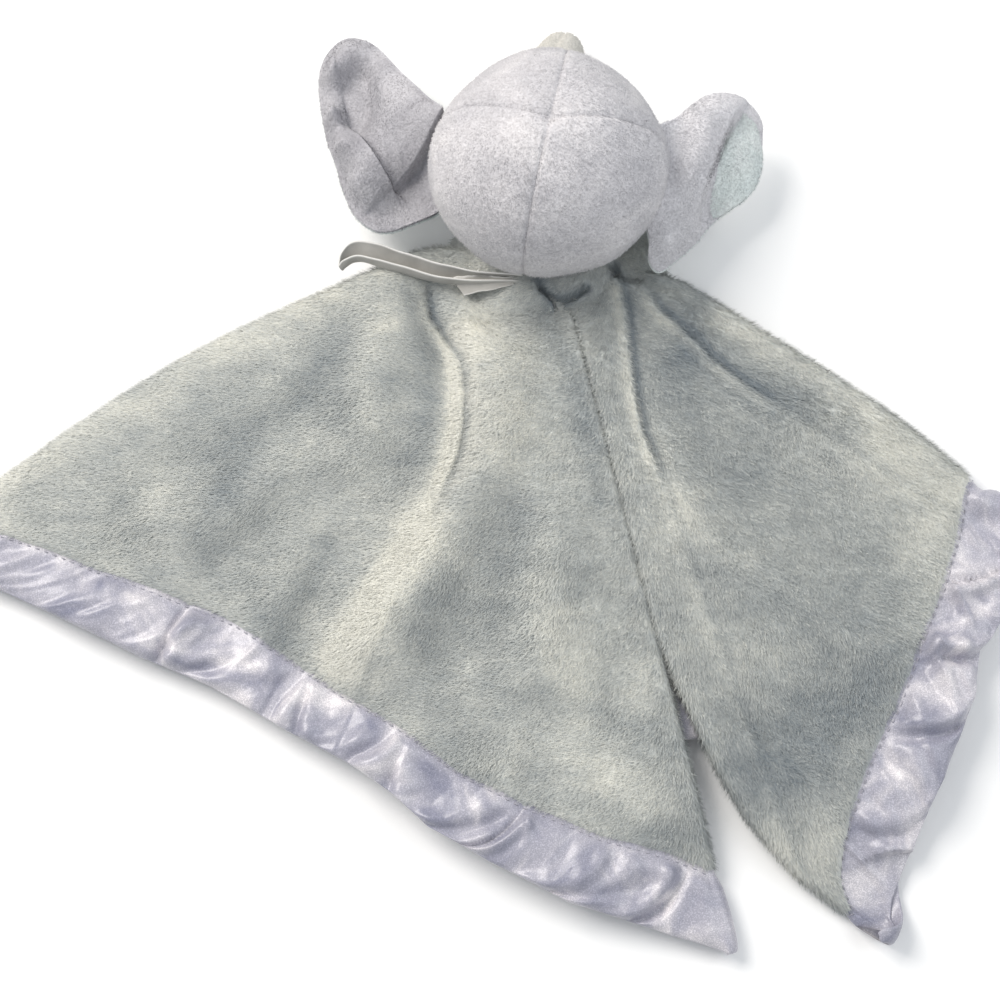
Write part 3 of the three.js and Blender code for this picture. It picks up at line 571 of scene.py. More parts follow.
def along_line(points, line):
    """Distance from a line in plan, the side from -1 at its right to 1 at its left, and the share before it."""
    line = np.array(line, float)[:, :2]
    x, y = points[..., 0], points[..., 1]
    best, side, at = np.full(x.shape, 1e9), np.zeros(x.shape), np.zeros(x.shape)
    for k in range(len(line) - 1):
        a, b = line[k], line[k + 1]
        span = b - a
        t = np.clip(((x - a[0]) * span[0] + (y - a[1]) * span[1]) / (span @ span), 0, 1)
        dx, dy = x - a[0] - t * span[0], y - a[1] - t * span[1]
        distance = np.hypot(dx, dy)
        nearer = distance < best
        best = np.where(nearer, distance, best)
        across = (span[0] * dy - span[1] * dx) / np.maximum(np.linalg.norm(span) * distance, 1e-9)
        side = np.where(nearer, across, side)
        at = np.where(nearer, (k + t) / (len(line) - 1), at)
    return best, side, at


def step_down(points, line, drop, width, far):
    """A drop on the right of a line, steep at the line and easing off away from it."""
    distance, side, at = along_line(points, line)
    signed = distance * side
    ends = smooth(at, -0.05, 0.12) * (1 - smooth(at, 0.88, 1.05))
    return -drop * ends * (1 - smooth(signed, -width, width)) * np.exp(-np.maximum(-signed, 0) / far)


def settle(points):
    """Brings the corners down, and curls the tip of one over."""
    moved = points.copy()
    for tip in TIPS:
        away = np.hypot(moved[..., 0] - tip[0], moved[..., 1] - tip[1])
        moved[..., 2] -= TIP_DROP * (1 - smooth(away, 0.3 * TIP_REACH, TIP_REACH))
    past = (moved[..., :2] - CURL_FROM) @ np.array(CURL_WAY)
    near = np.hypot(moved[..., 0] - TIPS[0][0], moved[..., 1] - TIPS[0][1]) < CURL_REACH
    flat = np.where(near, smooth(past, *CURL_EASE), 0)
    moved[..., 2] = lerp(moved[..., 2], CURL_HEIGHT + CURL_FLATTENING * (moved[..., 2] - LYING_HEIGHT), flat)
    turn = np.where(near, np.maximum(past, 0), 0) / CURL_RADIUS
    inner = CURL_RADIUS - (moved[..., 2] - CURL_HEIGHT)
    curled = turn > 0
    moved[..., :2] += np.where(curled, inner * np.sin(turn) - turn * CURL_RADIUS, 0)[..., None] * CURL_WAY
    moved[..., 2] = np.where(curled, CURL_HEIGHT + CURL_RADIUS - inner * np.cos(turn), moved[..., 2])
    moved[..., 2] = np.maximum(moved[..., 2], 0.1)
    return moved


def drape(points):
    """The cloth's wrinkles, ridges and small uneven folds, the same for every piece of it."""
    upper = smooth(points[..., 2], 4.0, 8.5) * smooth(np.hypot(points[..., 0], points[..., 1]), 22, 50)
    rise = 0 * upper
    for height, right, left, line in RIDGES:
        distance, side, at = along_line(points, line)
        if isinstance(right, tuple):
            right = lerp(*right, at)
        ends = smooth(at, 0, 0.22) * (1 - smooth(at, 0.82, 1.0))
        rise += height * bump(distance, 0, lerp(right, left, (side + 1) / 2)) * ends
    for drop, width, far, line in CREASES:
        rise += step_down(points, line[::-1], drop, width, far)
    broad = fractal(points * (1, 1, 0), 44.0, 2, 1.0)
    small = fractal(points * (1, 1, 0), 15.0, 2, 2.0)
    moved = points.copy()
    moved[..., 2] += upper * np.maximum(rise + 0.7 * broad + 0.25 * small, -4.0)
    return settle(moved)


def pile_tone_and_painted_light(points):
    """The pile's tone at points of the cloth: random tone, painted light and shade along the folds, and painted shade
    in the creases.
    """
    value = 0.54 + 0.12 * fractal(points * (1, 1, 0), 24.0, 3, 31.0)
    value += 0.1 * fractal(points * (0.4, 1, 0), 5.0, 2, 32.0)
    # Painted light along the lit sides of the folds, and painted shade along their shaded sides.
    for amount, width, line in PAINTED_LIGHT_AND_SHADE:
        value += PAINTED_LIGHT_DEPTH * amount * bump(along_line(points, line)[0], 0, width)
    # Painted shade down each crease, with a painted highlight just beside it.
    for _, _, _, line in CREASES:
        distance, side, at = along_line(points, line[::-1])
        ends = smooth(at, -0.05, 0.12) * (1 - smooth(at, 0.8, 1.0))
        value += ends * (-0.5 * bump(distance * side, -1.2, 1.6) + 0.3 * bump(distance * side, 2.0, 2.4))
    return np.clip(value, 0, 1)


# The blanket: points along each ray, how far its edge goes into the binding, and the directions between
# which the lowest layer shows past the folds
PLUSH_STATIONS = 60 * FINE
TONGUE = np.array((0.4, 1.6))
OPENING = (-84.0, -60.0)


def blanket_plush(rays):
    """The plush square, one closed sheet, and which of its points no pile grows on."""
    shares = np.linspace(0, 1, PLUSH_STATIONS)
    rings, bare = [], []
    for ray in rays:
        inner = reach(ray, STITCH_KNOTS)
        radius = lerp(GATHER_RADIUS, inner, shares)
        half = np.append(lerp(GATHER_HALF, CLOTH_HALF, fullness(radius)), [BACKING_HALF] * 2)
        radius = np.append(radius, inner + TONGUE)
        rings.append(np.concatenate([cloth_points(ray, radius, half), cloth_points(ray, radius, -half)[::-1]]))
        hidden = ray["name"] in ("pleat", "base")
        if ray["name"] == "lower":
            direction = lerp(ray["start"](HALF_SIDE), ray["end"](HALF_SIDE), ray["share"])
            hidden = not OPENING[0] < direction < OPENING[1]
        ring = np.ones(len(rings[0]), bool)
        ring[:PLUSH_STATIONS] = hidden
        bare.append(ring)
    points = drape(np.array(rings))
    obj = make_grid("blanket_cloth", points, True, mint_plush)
    paint(obj, pile_tone_and_painted_light(points))
    return obj, np.array(bare).ravel()


# The satin: points across a length, and how far from a corner its puckers begin
BINDING_STEPS = 22
MITRE_EASE = 9.0

# Deep creases across the satin: depth, width and line
SATIN_CREASES = (
    (2.6, 1.6, ((-126, -125), (-130, -134), (-136, -145))),
    (1.6, 2.2, ((-114, -143), (-123, -144), (-133, -147))),
    (2.2, 2.2, ((-88, -149), (-93, -152), (-100, -164))),
    (1.6, 1.6, ((-85, -151), (-87, -159))),
    (2.4, 2.0, ((-56, -169), (-61, -171), (-69, -174), (-74, -180))),
    (2.2, 2.0, ((-53, -172), (-57, -177), (-60, -189))),
    (2.8, 0.9, ((-15, -196), (-27, -202), (-40, -208))),
    (1.6, 2.4, ((15, -208), (8, -215), (-5, -220))),
    (3.2, 1.7, ((116, -152), (121, -148), (128, -148), (137, -150))),
    (2.0, 1.8, ((104, -175), (116, -173), (126, -170), (132, -167))),
    (1.6, 2.0, ((90, -207), (103, -205), (112, -202))),
)


def binding(name, rays, start, end, amount):
    """One satin length: folded over the hem, puffed between its stitching and the fold, and puckered."""
    at = {ray.get("corner"): i for i, ray in enumerate(rays)}
    first, last = at[start], at[end]
    chosen = rays[first:last + 1] if last > first else rays[first:] + rays[:last + 1]
    hem = [reach(ray) for ray in chosen]
    inner = [reach(ray, STITCH_KNOTS) for ray in chosen]
    seam = np.array([cloth_points(ray, [r], 0)[0] for ray, r in zip(chosen, inner)])
    along = lengths(seam)
    t = np.linspace(0, 1, BINDING_STEPS)
    grain = np.stack([(along[:, None] + 14 * t) / 17, 0.9 * t + 0 * along[:, None], 0 * t + 0 * along[:, None]], -1)
    dents = fractal(grain, 1.0, 3, 4.0)
    creases = np.clip(1 - 4 * np.abs(fractal(grain * (0.9, 0.5, 1), 1.0, 2, 6.0)), 0, 1)
    wide = fractal(grain * (0.26, 0.5, 1), 1.0, 2, 5.0)
    near = np.exp(-t / 0.5)
    lift = 4.2 * dents * (0.5 + 0.5 * near) + 1.4 * creases * near + 4.0 * wide * smooth(t, 0, 0.4)
    if amount >= 1:
        plan = np.array([cloth_points(ray, lerp(a, b, t), 0) for ray, a, b in zip(chosen, inner, hem)])
        for depth, width, line in SATIN_CREASES:
            distance, side, _ = along_line(plan, line)
            lift -= depth * bump(distance * side, 0, width)
            lift += 0.7 * depth * bump(distance * side, 2.4 * width, 1.8 * width)
    lift *= smooth(np.minimum(along, along[-1] - along), 0, MITRE_EASE)[:, None]
    puff = 1.6 + 1.0 * np.sin(math.pi * t ** 0.8)
    closing = np.sqrt(np.clip(1 - t ** 6, 0, 1))
    high = np.maximum(puff * smooth(t, -0.05, 0.16) + amount * lift * smooth(t, 0.02, 0.16), 0.3)
    high *= closing
    low = np.maximum(0.8 * puff - 0.2 * amount * lift, 0.3) * closing
    rings = []
    for ray, start_at, end_at, up, down in zip(chosen, inner, hem, high, low):
        radius = lerp(start_at, end_at, np.sin(t * math.pi / 2) ** 0.9)
        top = cloth_points(ray, radius, up)
        bottom = cloth_points(ray, radius[::-1], -down[::-1])
        edge = cloth_points(ray, [start_at, start_at], [0.55, -0.55])
        rings.append(np.concatenate([edge[:1], top, bottom[1:], edge[1:]]))
    points = drape(np.array(rings))
    piece = make_grid(name, points, False, satin)
    thread = stitches(f"{name}_stitches", points[:, 2], along, 3.2, 2.0, 0.24, binding_thread)
    return piece, thread


def stitches(name, line, along, step, length, radius, material):
    """A row of short threads, each a little tube that dips into the cloth at its ends."""
    around, rings = 6, 5
    turn = angles(around)[:, None]
    share = np.linspace(-0.5, 0.5, rings)
    size = (radius * np.sqrt(np.clip(1.05 - (2 * share) ** 2, 0.05, 1)))[:, None, None]
    points, faces = [], []
    for k in range(int(along[-1] // step)):
        at = (k + 0.5) * step + length * share
        centre = np.stack([np.interp(at, along, line[:, axis]) for axis in range(3)], -1)
        centre[:, 2] += 0.25 - 1.6 * share ** 2
        way = unit(centre[-1] - centre[0])
        side = unit(np.cross(way, (0, 0, 1)))
        tube = centre[:, None] + size * (np.cos(turn) * side + np.sin(turn) * np.cross(side, way))
        faces += [[v + len(points) * around * rings for v in f] for f in ring_faces(rings, around, False)]
        points.append(tube)
    return outward(make_object(name, np.array(points), faces, material))


def pile(name, source, place, lean, material, seed, count, length, width, keep=None, bare=None):
    """Pile on a mesh: narrow blades rooted on its faces, leaning downhill of the nap and unevenly."""
    rng = np.random.default_rng(seed)
    count *= FINE
    mesh = source.data
    mesh.calc_loop_triangles()
    verts = np.array([v.co for v in mesh.vertices]) / MM
    tris = np.array([t.vertices for t in mesh.loop_triangles])
    normals = np.array([v.normal for v in mesh.vertices])
    if bare is not None:
        tris = tris[~bare[tris].any(axis=1)]
    corners = verts[tris]
    if keep is not None:
        chosen = keep(corners.mean(1), normals[tris].mean(1))
        tris, corners = tris[chosen], corners[chosen]
    area = np.linalg.norm(np.cross(corners[:, 1] - corners[:, 0], corners[:, 2] - corners[:, 0]), axis=1)
    pick = rng.choice(len(tris), count, p=area / area.sum())
    w = rng.dirichlet((1, 1, 1), count)[..., None]
    root = (corners[pick] * w).sum(1)
    normal = unit((normals[tris[pick]] * w).sum(1))
    nap = lean(root) + rng.normal(0, 0.3, (count, 3))
    nap = unit(nap - normal * (nap * normal).sum(1, keepdims=True))
    tilt = rng.uniform(0.55, 1.15, count)[:, None]
    way = normal * np.cos(tilt) + nap * np.sin(tilt)
    side = unit(np.cross(way, normal))
    spread = width * rng.uniform(0.7, 1.3, count)[:, None]
    tall = length * rng.uniform(0.7, 1.25, count)[:, None]
    base = root - normal * 0.15
    points = np.stack([base - side * spread / 2, base + side * spread / 2, base + way * tall], 1)
    points[..., 2] = np.maximum(points[..., 2], 0.2)
    obj = make_object(name, points.reshape(-1, 3) - (0, ORIGIN_BACK, 0), np.arange(count * 3).reshape(-1, 3), material)
    # Each blade takes the tone of the cloth where it stands, its painted light and shade with it.
    tone_and_painted_light = mesh.attributes.get("tone_and_painted_light")
    if tone_and_painted_light:
        values = np.zeros(len(verts), np.float32)
        tone_and_painted_light.data.foreach_get("value", values)
        strand_tone_and_light = (values[tris[pick]] * w[..., 0]).sum(1) + rng.normal(0, 0.1, count)
        paint(obj, np.repeat(np.clip(strand_tone_and_light, 0, 1), 3))
    return belongs(with_cells(obj, count, normal), *place)


def with_cells(obj, count, normal):
    """Gives each blade a cell of its own in the map, and the normal of the cloth that it stands on."""
    across = math.ceil(math.sqrt(count))
    column, row = np.arange(count) % across, np.arange(count) // across
    corner = np.array([(0.08, 0.08), (0.92, 0.08), (0.08, 0.92)])
    cells = (np.stack([column, row], 1)[:, None] + corner) / across
    obj.data.uv_layers.new(name="OFBake").uv.foreach_set("vector", cells.astype(np.float32).ravel())
    obj.data.normals_split_custom_set_from_vertices(np.repeat(normal, 3, axis=0).tolist())
    return obj


def nap_on_blanket(points):
    """The way the blanket's pile lies: across the left part, down the right part, swept aside in patches."""
    points = points - (0, ORIGIN_BACK, 0)
    radius = np.maximum(np.hypot(points[:, 0], points[:, 1]), 1e-6)
    right = smooth(points[:, 0] - 0.12 * -points[:, 1], 0, 24)[:, None]
    lie = lerp(np.array((-1.0, -0.25, 0.0)), np.array((0.35, -1.0, 0.0)), right)
    swing = 0.6 * fractal(points, 40.0, 2, 8.0) + 0.35 * fractal(points, 13.0, 2, 9.0)
    turned = np.stack([np.cos(swing) * lie[:, 0] - np.sin(swing) * lie[:, 1],
                       np.sin(swing) * lie[:, 0] + np.cos(swing) * lie[:, 1], 0 * swing], 1)
    return turned + 0.35 * (points * (1, 1, 0) / radius[:, None])


# The gathered cloth at the neck: its middle, half sizes, heights, the room under the head, and its
# creases as depth, width and line
NECK_MIDDLE, NECK_SPREAD = (0.0, -11.0), (40.0, 31.0)
NECK_TOP, NECK_FOOT, HEAD_ROOM = 14.0, 3.6, 2.4
NECK_CREASES = (
    (3.0, 1.5, ((-6, -12), (-4, -18), (1, -23), (5, -34), (10, -50))),
    (2.2, 1.3, ((11, -18), (7, -21), (1, -23))),
    (2.4, 1.5, ((21, -9), (23, -18), (25, -34), (26, -50))),
    (1.6, 3.0, ((-40, -10), (-38, -22), (-36, -40))),
)


def neck_gather():
    """The cloth drawn up to the neck: a low mound with the folds' creases running out of it."""
    turn, out = grid(angles(90 * FINE), np.linspace(0.02, 1, 34 * FINE))
    plan = np.stack([NECK_MIDDLE[0] + NECK_SPREAD[0] * out * np.cos(turn),
                     NECK_MIDDLE[1] + NECK_SPREAD[1] * out * np.sin(turn), 0 * out], -1)
    z = lerp(NECK_TOP, NECK_FOOT, smooth(out, 0.05, 1.0))
    for depth, width, line in NECK_CREASES:
        z -= depth * bump(along_line(plan, line)[0], 0, width) * smooth(out, 0.1, 0.3)
    z += 0.25 * fractal(plan, 14.0, 2, 15.0) * smooth(out, 0.1, 0.3)
    inside = np.clip(1 - ((plan[..., 0] - HEAD_CENTRE[0]) / HEAD_HALF[0]) ** 2
                     - ((plan[..., 1] - HEAD_CENTRE[1]) / HEAD_HALF[1]) ** 2, 0, 1)
    under_head = HEAD_CENTRE[2] - HEAD_HALF[2] * np.sqrt(inside) - HEAD_ROOM
    plan[..., 2] = np.maximum(np.where(inside > 0, np.minimum(z, under_head), z), 0.6)
    foot, middle = plan[:, -1:].copy(), plan[:, :1].copy()
    foot[..., 2] = middle[..., 2] = 0.3
    rings = np.concatenate([plan, foot, middle], axis=1)
    obj = make_grid("neck_gather", rings, True, mint_plush)
    # Painted shade down the creases of the gathered cloth.
    creased = sum(bump(along_line(rings, line)[0], 0, 1.6 * width) for _, width, line in NECK_CREASES)
    paint(obj, np.clip(pile_tone_and_painted_light(rings) - 0.5 * creased, 0, 1))
    return obj


# Each satin length: its node, the corners that it runs between and how strongly it is puckered
BINDINGS = (("binding_left", "A", "B", 1.15), ("binding_pleat", "B", "C", 0.3),
            ("binding_right", "C", "D", 1.5), ("binding_under", "D", "A", 0.3))
PILE_DIVIDE = math.radians(-98)


def make_blanket():
    place = ("blanket", "mint_plush")
    cloth, bare = blanket_plush(all_rays(FINE))
    belongs(cloth, *place, "blanket_plush")
    gather = belongs(neck_gather(), *place)
    pile("neck_pile", gather, place, nap_on_blanket, mint_pile, 13, 12000, 2.0, 0.34,
         lambda centre, normal: (normal[:, 2] > 0) & (centre[:, 2] > 3.0))
    rays = all_rays(3 * FINE)
    for node, start, end, amount in BINDINGS:
        piece, thread = binding(f"satin_{node}", rays, start, end, amount)
        belongs(piece, "blanket", "lavender_satin", node)
        belongs(thread, "blanket", "lavender_satin")
    for name, side, seed in (("pile_left", -1, 11), ("pile_right", 1, 12)):
        def keep(centre, normal, side=side):
            azimuth = np.arctan2(centre[:, 1] - ORIGIN_BACK, centre[:, 0])
            azimuth = np.where(azimuth > 1, azimuth - TURN, azimuth)
            return ((azimuth > PILE_DIVIDE) == (side > 0)) & (centre[:, 2] > 0.8)
        pile(name, cloth, place, nap_on_blanket, mint_pile, seed, 84000, 2.7, 0.34, keep, bare)


# The head
HEAD_HALF = np.array((40.5, 38.0, 38.0))
HEAD_CENTRE = np.array((-1.5, 17.0, 37.5))
HEAD_FILL, EAR_FILL = 0.8, 0.3
SKIN = 2.0
FACE_NARROWING_SHARE = 0.16
SEAM_DEPTH, SEAM_WIDTH = 0.5, 0.9
SEAMS = {"front": 77.0, "left": 159.0, "back": 256.0, "right": 4.0}
PANELS = (("back_panel_left", "left", "back"), ("back_panel_right", "back", "right"),
          ("face_panel_left", "front", "left"), ("face_panel_right", "right", "front"))


def head_surface(polar, azimuth, inset=0.0):
    """Points of the head's skin by angles in degrees, with its seams drawn in."""
    polar, azimuth = np.radians(polar), np.radians(azimuth)
    x, y, z = np.sin(polar) * np.cos(azimuth), np.sin(polar) * np.sin(azimuth), np.cos(polar)
    narrow = 1 - FACE_NARROWING_SHARE * np.maximum(0, y) ** 1.5
    half = HEAD_HALF - inset
    points = np.stack([x * narrow * half[0], y * half[1], z * half[2]], -1)
    draw = 0 * x
    away = HEAD_HALF[0] * np.sin(polar)
    for at in SEAMS.values():
        beside_seam = away * wrap(azimuth - math.radians(at))
        pucker = 1 + 0.5 * np.sin(polar * 46 + at)
        draw += SEAM_DEPTH * (bump(beside_seam, 0, SEAM_WIDTH) + 0.35 * pucker * bump(beside_seam, 0, 4.5))
    draw = np.minimum(draw, 1.5 * SEAM_DEPTH) + 1.5 * bump(away, 0, 2.6) * (z > 0)
    size = np.linalg.norm(points, axis=-1, keepdims=True)
    lumps = 0.7 * fractal(points, 24.0, 2, 3.0)
    points = points * (1 + (lumps - draw)[..., None] / size) + HEAD_CENTRE
    points[..., 2] = np.maximum(points[..., 2], 0.15)
    return points


def head_panel(name, first, last):
    """A quarter of the head's skin between two seams, from its crown to its foot, a little thick."""
    steps = 44 * FINE
    azimuth = SEAMS[first] + np.linspace(0, (SEAMS[last] - SEAMS[first]) % 360, steps)
    polar, azimuth = grid(180 * np.linspace(0.0, 1.0, 2 * steps), azimuth)
    rings = np.concatenate([head_surface(polar, azimuth), head_surface(polar, azimuth, SKIN)[:, ::-1]], axis=1)
    return make_grid(name, rings, False, lavender_plush)


def nap_on_head(points):
    away = points - (HEAD_CENTRE + (0, ORIGIN_BACK, 0))
    down = np.stack([away[:, 0], away[:, 1], -40 + 0 * away[:, 0]], 1) / 40
    return down + 1.1 * np.stack([fractal(points, 20.0, 2, s) for s in (20.0, 21.0, 22.0)], 1)


def make_head():
    place = ("head", "lavender_plush")
    for seed, (node, first, last) in enumerate(PANELS, 31):
        panel = belongs(head_panel(f"{node}_plush", first, last), *place, node, HEAD_FILL)
        pile(f"{node}_nap", panel, place, nap_on_head, lavender_plush, seed, 14000, 1.1, 0.3)


NECK_CENTRE = np.array((0.0, -9.0, 12.0))
NECK_PATCH_OUTER, NECK_PATCH_INNER, NECK_PATCH_RIM = 12.8, 10.9, 50.0
EYE_SPREAD, EYE_LIFT, EYE_HALF = 34.0, 14.0, 5.0


def make_eyes():
    """Closed eyes: a narrow curved band of close stitches on the skin of the face."""
    sweep = np.linspace(-1, 1, 40 * FINE)
    turn = angles(14)[:, None]
    for node, x in (("left_eye", -1), ("right_eye", 1)):
        azimuth = 90 - x * EYE_SPREAD - np.degrees(sweep * x * EYE_HALF / HEAD_HALF[1])
        height = EYE_LIFT - (1 - sweep ** 2) * np.degrees(EYE_HALF / 2 / HEAD_HALF[2])
        skin = head_surface(90 - height, azimuth)
        out = unit(skin - HEAD_CENTRE)[:, None]
        up = unit(head_surface(89 - height, azimuth) - skin)[:, None]
        taper = np.sqrt(np.clip(1.02 - sweep ** 2, 0.02, 1)) * (0.93 + 0.07 * np.cos(sweep * 60))
        ring = skin[:, None] + 0.2 * out
        ring = ring + taper[:, None, None] * (0.8 * np.cos(turn) * up + 0.5 * np.sin(turn) * out)
        belongs(make_grid(f"{node}_stitching", ring, False, eye_thread), "head", "thread", node)


def make_head_inside():
    """The filling of the head, and the patch that closes the head over the neck."""
    polar, azimuth = grid(np.linspace(1, 179, 40 * FINE), np.linspace(0, 360, 60 * FINE, endpoint=False))
    filling = head_surface(polar, azimuth, 3.4)
    for centre, radius in ((NECK_CENTRE, NECK_PATCH_OUTER + 1.0), (TRUNK_ROOT, TRUNK_ROOT_RADIUS + 1.0)):
        away = filling - centre
        distance = np.linalg.norm(away, axis=-1, keepdims=True)
        filling = np.where(distance < radius, centre + away / distance * radius, filling)
    filling += 0.25 * fractal(filling, 6.0, 2, 41.0)[..., None]
    belongs(make_grid("head_filling", filling, False, fibre_fill), "head", "fibre", "head_stuffing", HEAD_FILL)
    rim = math.radians(NECK_PATCH_RIM)
    bend = np.concatenate([np.linspace(0.02, rim, 14), np.linspace(rim, 0.02, 14)])[:, None, None]
    size = np.repeat((NECK_PATCH_OUTER, NECK_PATCH_INNER), 14)[:, None, None]
    axis, side = unit((HEAD_CENTRE - NECK_CENTRE) * (0, 1, 1)), np.array((1.0, 0.0, 0.0))
    turn = angles(48 * FINE)[:, None]
    spread = np.cos(turn) * side + np.sin(turn) * np.cross(axis, side)
    creased = 1 + 0.012 * np.sin(turn * 14) * np.sin(bend)
    bowl = NECK_CENTRE + size * creased * (np.cos(bend) * axis + np.sin(bend) * spread)
    belongs(make_grid("neck_patch_plush", bowl, False, lavender_plush), "neck", "lavender_plush", "neck_patch")


def make_neck_seam():
    """The thread that sews the head to the gathered cloth."""
    line = head_surface(np.full(120, 133.0), np.linspace(-150, -30, 120))
    line[:, 2] -= 0.2
    belongs(stitches("neck_seam", line, lengths(line), 3.0, 2.4, 0.4, seam_thread), "neck", "lavender_plush")


# The trunk
TRUNK_ROOT, TRUNK_TIP = np.array((1.0, 50.0, 20.0)), np.array((5.5, 72.0, 8.2))
TRUNK_ROOT_RADIUS, TRUNK_TIP_RADIUS = 11.2, 7.8


def trunk_rings(inset, steps, around):
    """Rings along the trunk's bent middle line, rounded at both ends and grooved along its top seam."""
    bend = np.array((TRUNK_ROOT[0], lerp(TRUNK_ROOT[1], TRUNK_TIP[1], 0.55), lerp(TRUNK_ROOT[2], TRUNK_TIP[2], 0.4)))
    a = angles(around)
    groove = 0.7 * bump(wrap(a - math.pi / 2), 0, 0.14)
    rings = []
    for t in np.linspace(-0.45, 1.36, steps):
        u = min(max(t, 0.0), 1.0)
        centre = (1 - u) ** 2 * TRUNK_ROOT + 2 * u * (1 - u) * bend + u * u * TRUNK_TIP
        way = unit(2 * (1 - u) * (bend - TRUNK_ROOT) + 2 * u * (TRUNK_TIP - bend))
        radius = lerp(TRUNK_ROOT_RADIUS, TRUNK_TIP_RADIUS, u) - inset
        share = min(-t / 0.46 if t < 0 else max(t - 1, 0) / 0.362, 0.999)
        centre = centre + (-1 if t < 0 else 1) * way * radius * share
        radius *= math.sqrt(1 - share ** 2)
        side = unit(np.array((1, 0, 0)) - way * way[0])
        up = np.cross(side, way)
        rings.append(centre + (radius - groove)[:, None] * (np.cos(a)[:, None] * side + np.sin(a)[:, None] * up))
    rings = np.array(rings)
    rings[..., 2] = np.maximum(rings[..., 2], 0.15 + inset)
    return rings


def make_trunk():
    trunk = make_grid("trunk_plush", trunk_rings(0.0, 26 * FINE, 32 * FINE), False, nose_plush)
    belongs(trunk, "trunk", "nose_plush", "trunk_skin", HEAD_FILL)
    pile("trunk_nap", trunk, ("trunk", "nose_plush"), nap_on_head, nose_plush, 51, 5000, 1.0, 0.3)
    filling = make_grid("trunk_filling", trunk_rings(2.4, 20 * FINE, 24 * FINE), False, fibre_fill)
    belongs(filling, "trunk", "fibre", "trunk_stuffing", HEAD_FILL)


# The ears: the outline of each from its front root round to its back root, and places on its folded surface
EAR_OUTLINES = {
    "left": ((-35, 33, 46), (-41, 41, 40), (-48, 48, 34), (-52, 57, 28), (-56, 64, 25), (-60, 70, 22), (-65, 74, 20),
             (-71, 75, 19), (-76, 72, 18), (-80, 65, 17), (-81, 56, 17), (-80, 46, 17), (-78, 35, 17), (-75, 26, 16),
             (-73, 18, 15), (-70, 10, 15), (-66, 5, 14), (-61, 2, 14), (-55, 2, 14), (-49, 5, 15), (-44, 8, 18),
             (-39, 8, 24), (-36, 6, 29)),
    "right": ((33, 25, 47), (39, 30, 41), (45, 34, 36), (50, 41, 32), (56, 45, 30), (63, 46, 28), (69, 44, 26),
              (73, 39, 25), (74, 33, 24), (73, 26, 22), (70, 18, 21), (66, 12, 20), (62, 8, 20), (58, 5, 19),
              (54, 1, 18), (50, -4, 17), (46, -8, 17), (41, -12, 17), (37, -15, 18), (34, -15, 20), (32, -12, 23),
              (33, -8, 28)),
}
EAR_PLACES = {
    "left": ((-76, 60, 28), (-76, 44, 29), (-74, 30, 28), (-70, 17, 25), (-64, 8, 20), (-71, 70, 25), (-65, 67, 25),
             (-67, 58, 17), (-68, 50, 15), (-69, 42, 17), (-60, 57, 27), (-59, 49, 29), (-58, 41, 31), (-50, 43, 35),
             (-44, 37, 39), (-50, 34, 34), (-55, 29, 32), (-56, 20, 29), (-44, 29, 36), (-40, 34, 43)),
    "right": ((58, 39, 35), (54, 29, 40), (50, 19, 40), (46, 9, 38), (42, 0, 34), (38, -9, 28), (45, 25, 39.5),
              (42, 15, 39), (39, 5, 36.5), (35, -4, 32), (64, 41, 31), (70, 36, 27), (71, 27, 25), (68, 19, 23),
              (47, 34, 38), (37, 25, 41), (38, 17, 39.5), (57, 30, 37)),
}
LEFT_STRIP_EDGE = ((-72, 50), (-70, 40), (-63, 29), (-56, 18), (-54, 14))
LEFT_FLAP_EDGE = ((-34, 38), (-42, 28), (-49, 21), (-55, 16))
RIGHT_STRIP_EDGE = ((66, 39), (62, 32), (58, 23), (54, 14), (51, 6), (50, 1))
# How low an ear may hang, and how softly it stops there
EAR_LOWEST, EAR_EASE = {"left": 19.0, "right": 17.0}, 1.2
# The edge of the lining that the right ear's fold leaves open
DISH = ((67, 38.8), (71.5, 35), (73.6, 28), (73.2, 21), (70, 14), (64, 8.6), (56, 4.2), (54, 8), (56, 16),
        (58, 23), (61.5, 31))


def thin_plate(places):
    """A smooth height over the plan that passes through places."""
    places = np.array(places, float)
    flat, z = places[:, :2], places[:, 2]

    def kernel(a, b):
        r2 = ((a[:, None] - b[None]) ** 2).sum(-1)
        return r2 * np.log(np.maximum(r2, 1e-9)) / 2
    n = len(flat)
    system = np.zeros((n + 3, n + 3))
    system[:n, :n] = kernel(flat, flat) + 2.0 * np.eye(n)
    system[:n, n:] = np.column_stack([np.ones(n), flat])
    system[n:, :n] = system[:n, n:].T
    weights = np.linalg.solve(system, np.append(z, (0, 0, 0)))

    def height(points):
        shape = points.shape[:-1]
        at = points[..., :2].reshape(-1, 2)
        values = kernel(at, flat) @ weights[:n] + np.column_stack([np.ones(len(at)), at]) @ weights[n:]
        return values.reshape(shape)
    return height


def ear_heights(side):
    plain_height = thin_plate(EAR_OUTLINES[side] + EAR_PLACES[side])

    def height(points):
        z = plain_height(points)
        if side == "left":
            z += step_down(points, LEFT_STRIP_EDGE[::-1], 5.0, 0.45, 8.0)
            z += step_down(points, LEFT_FLAP_EDGE[::-1], 8.5, 0.45, 13.0)
        else:
            z += step_down(points, RIGHT_STRIP_EDGE[::-1], 7.5, 1.0, 12.0)
        z += 0.35 * fractal(points * (1, 1, 0), 11.0, 2, 12.0)
        return EAR_LOWEST[side] + EAR_EASE * np.logaddexp(0, (z - EAR_LOWEST[side]) / EAR_EASE)
    return height


